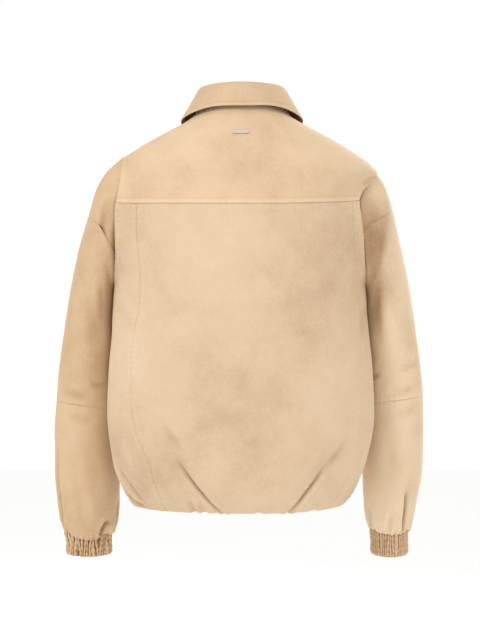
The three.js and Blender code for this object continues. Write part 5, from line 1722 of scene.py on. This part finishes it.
def finish_metal(name, material, width):
    node = bpy.data.objects[name]
    wear(node, material)
    soft = node.modifiers.new("soft edges", "BEVEL")
    soft.width = width * MM
    soft.segments = 3
    soft.limit_method = "ANGLE"
    soft.harden_normals = True
    print(f"{name}: edges rounded by {width} mm")


finish_metal("neck_bar", METAL["bar"], 0.35)
finish_metal("zip_slider", METAL["zip"], 0.25)
finish_metal("zip_pull", METAL["zip"], 0.25)

# %% [markdown]
# The picture is taken from straight behind, at mid height, with a long lens, on a white ground. Soft light
# comes from a white sky all round, from a lamp at the upper left and from a weak one at the right, so folds
# show as gentle shade and not as hard shadow. A third lamp lights the front of the jacket.

# %% Camera
CAMERA = {"place": (0.003, 2.6, -0.2925), "lens": 97.5, "sensor": 36}


def link(made):
    bpy.context.scene.collection.objects.link(made)
    return made


camera_data = bpy.data.cameras.new("camera")
camera_data.lens = CAMERA["lens"]
camera_data.sensor_width = CAMERA["sensor"]
camera = link(bpy.data.objects.new("camera", camera_data))
camera.location = CAMERA["place"]
camera.rotation_euler = (math.radians(90), 0, math.radians(180))
bpy.context.scene.camera = camera
print("camera behind the jacket, m:", CAMERA["place"][1])

# %% Lights
LIGHTS = [
    ("key", (1.5, 2.3, 1.5), 1.2, 40),
    ("fill", (-1.8, 2.2, 0.4), 2.0, 8),
    ("front key", (-1.5, -2.4, 1.2), 1.4, 40),
]
target = link(bpy.data.objects.new("look at", None))
target.location = (0, 0, -0.3)


def area_light(name, place, size, power):
    light = bpy.data.lights.new(name, "AREA")
    light.shape = "DISK"
    light.size = size
    light.energy = power
    made = link(bpy.data.objects.new(name, light))
    made.location = place
    track = made.constraints.new("TRACK_TO")
    track.target = target
    track.track_axis = "TRACK_NEGATIVE_Z"
    track.up_axis = "UP_Y"


for row in LIGHTS:
    area_light(*row)
print("lamps:", len(LIGHTS))

# %% Ground and sky
GROUND = {"half": 9, "z": -1.3}


def ground_material():
    material, tree, shader = new_material("ground")
    shader.inputs["Roughness"].default_value = 0.9
    tone = noise(tree, place_on_cloth(tree), 2, 2)
    white = mix_colours(tree, tone, colour(250, 250, 249), colour(252, 252, 251))
    tree.links.new(white, shader.inputs["Base Color"])
    return material


def build_ground():
    half = GROUND["half"]
    corners = [(x * half, y * half, GROUND["z"]) for x, y in ((-1, -1), (1, -1), (1, 1), (-1, 1))]
    mesh = bpy.data.meshes.new("ground")
    mesh.from_pydata(corners, [], [[0, 1, 2, 3]])
    mesh.materials.append(ground_material())
    link(bpy.data.objects.new("ground", mesh))


build_ground()
world = bpy.data.worlds.new("studio")
world.use_nodes = True
sky = world.node_tree.nodes["Background"]
sky.inputs["Color"].default_value = (1, 1, 1, 1)
sky.inputs["Strength"].default_value = 1.0
bpy.context.scene.world = world
bpy.context.scene.view_settings.view_transform = "Standard"

# %% Count the sheets of cloth
print("sheets of cloth:", len(sewn))
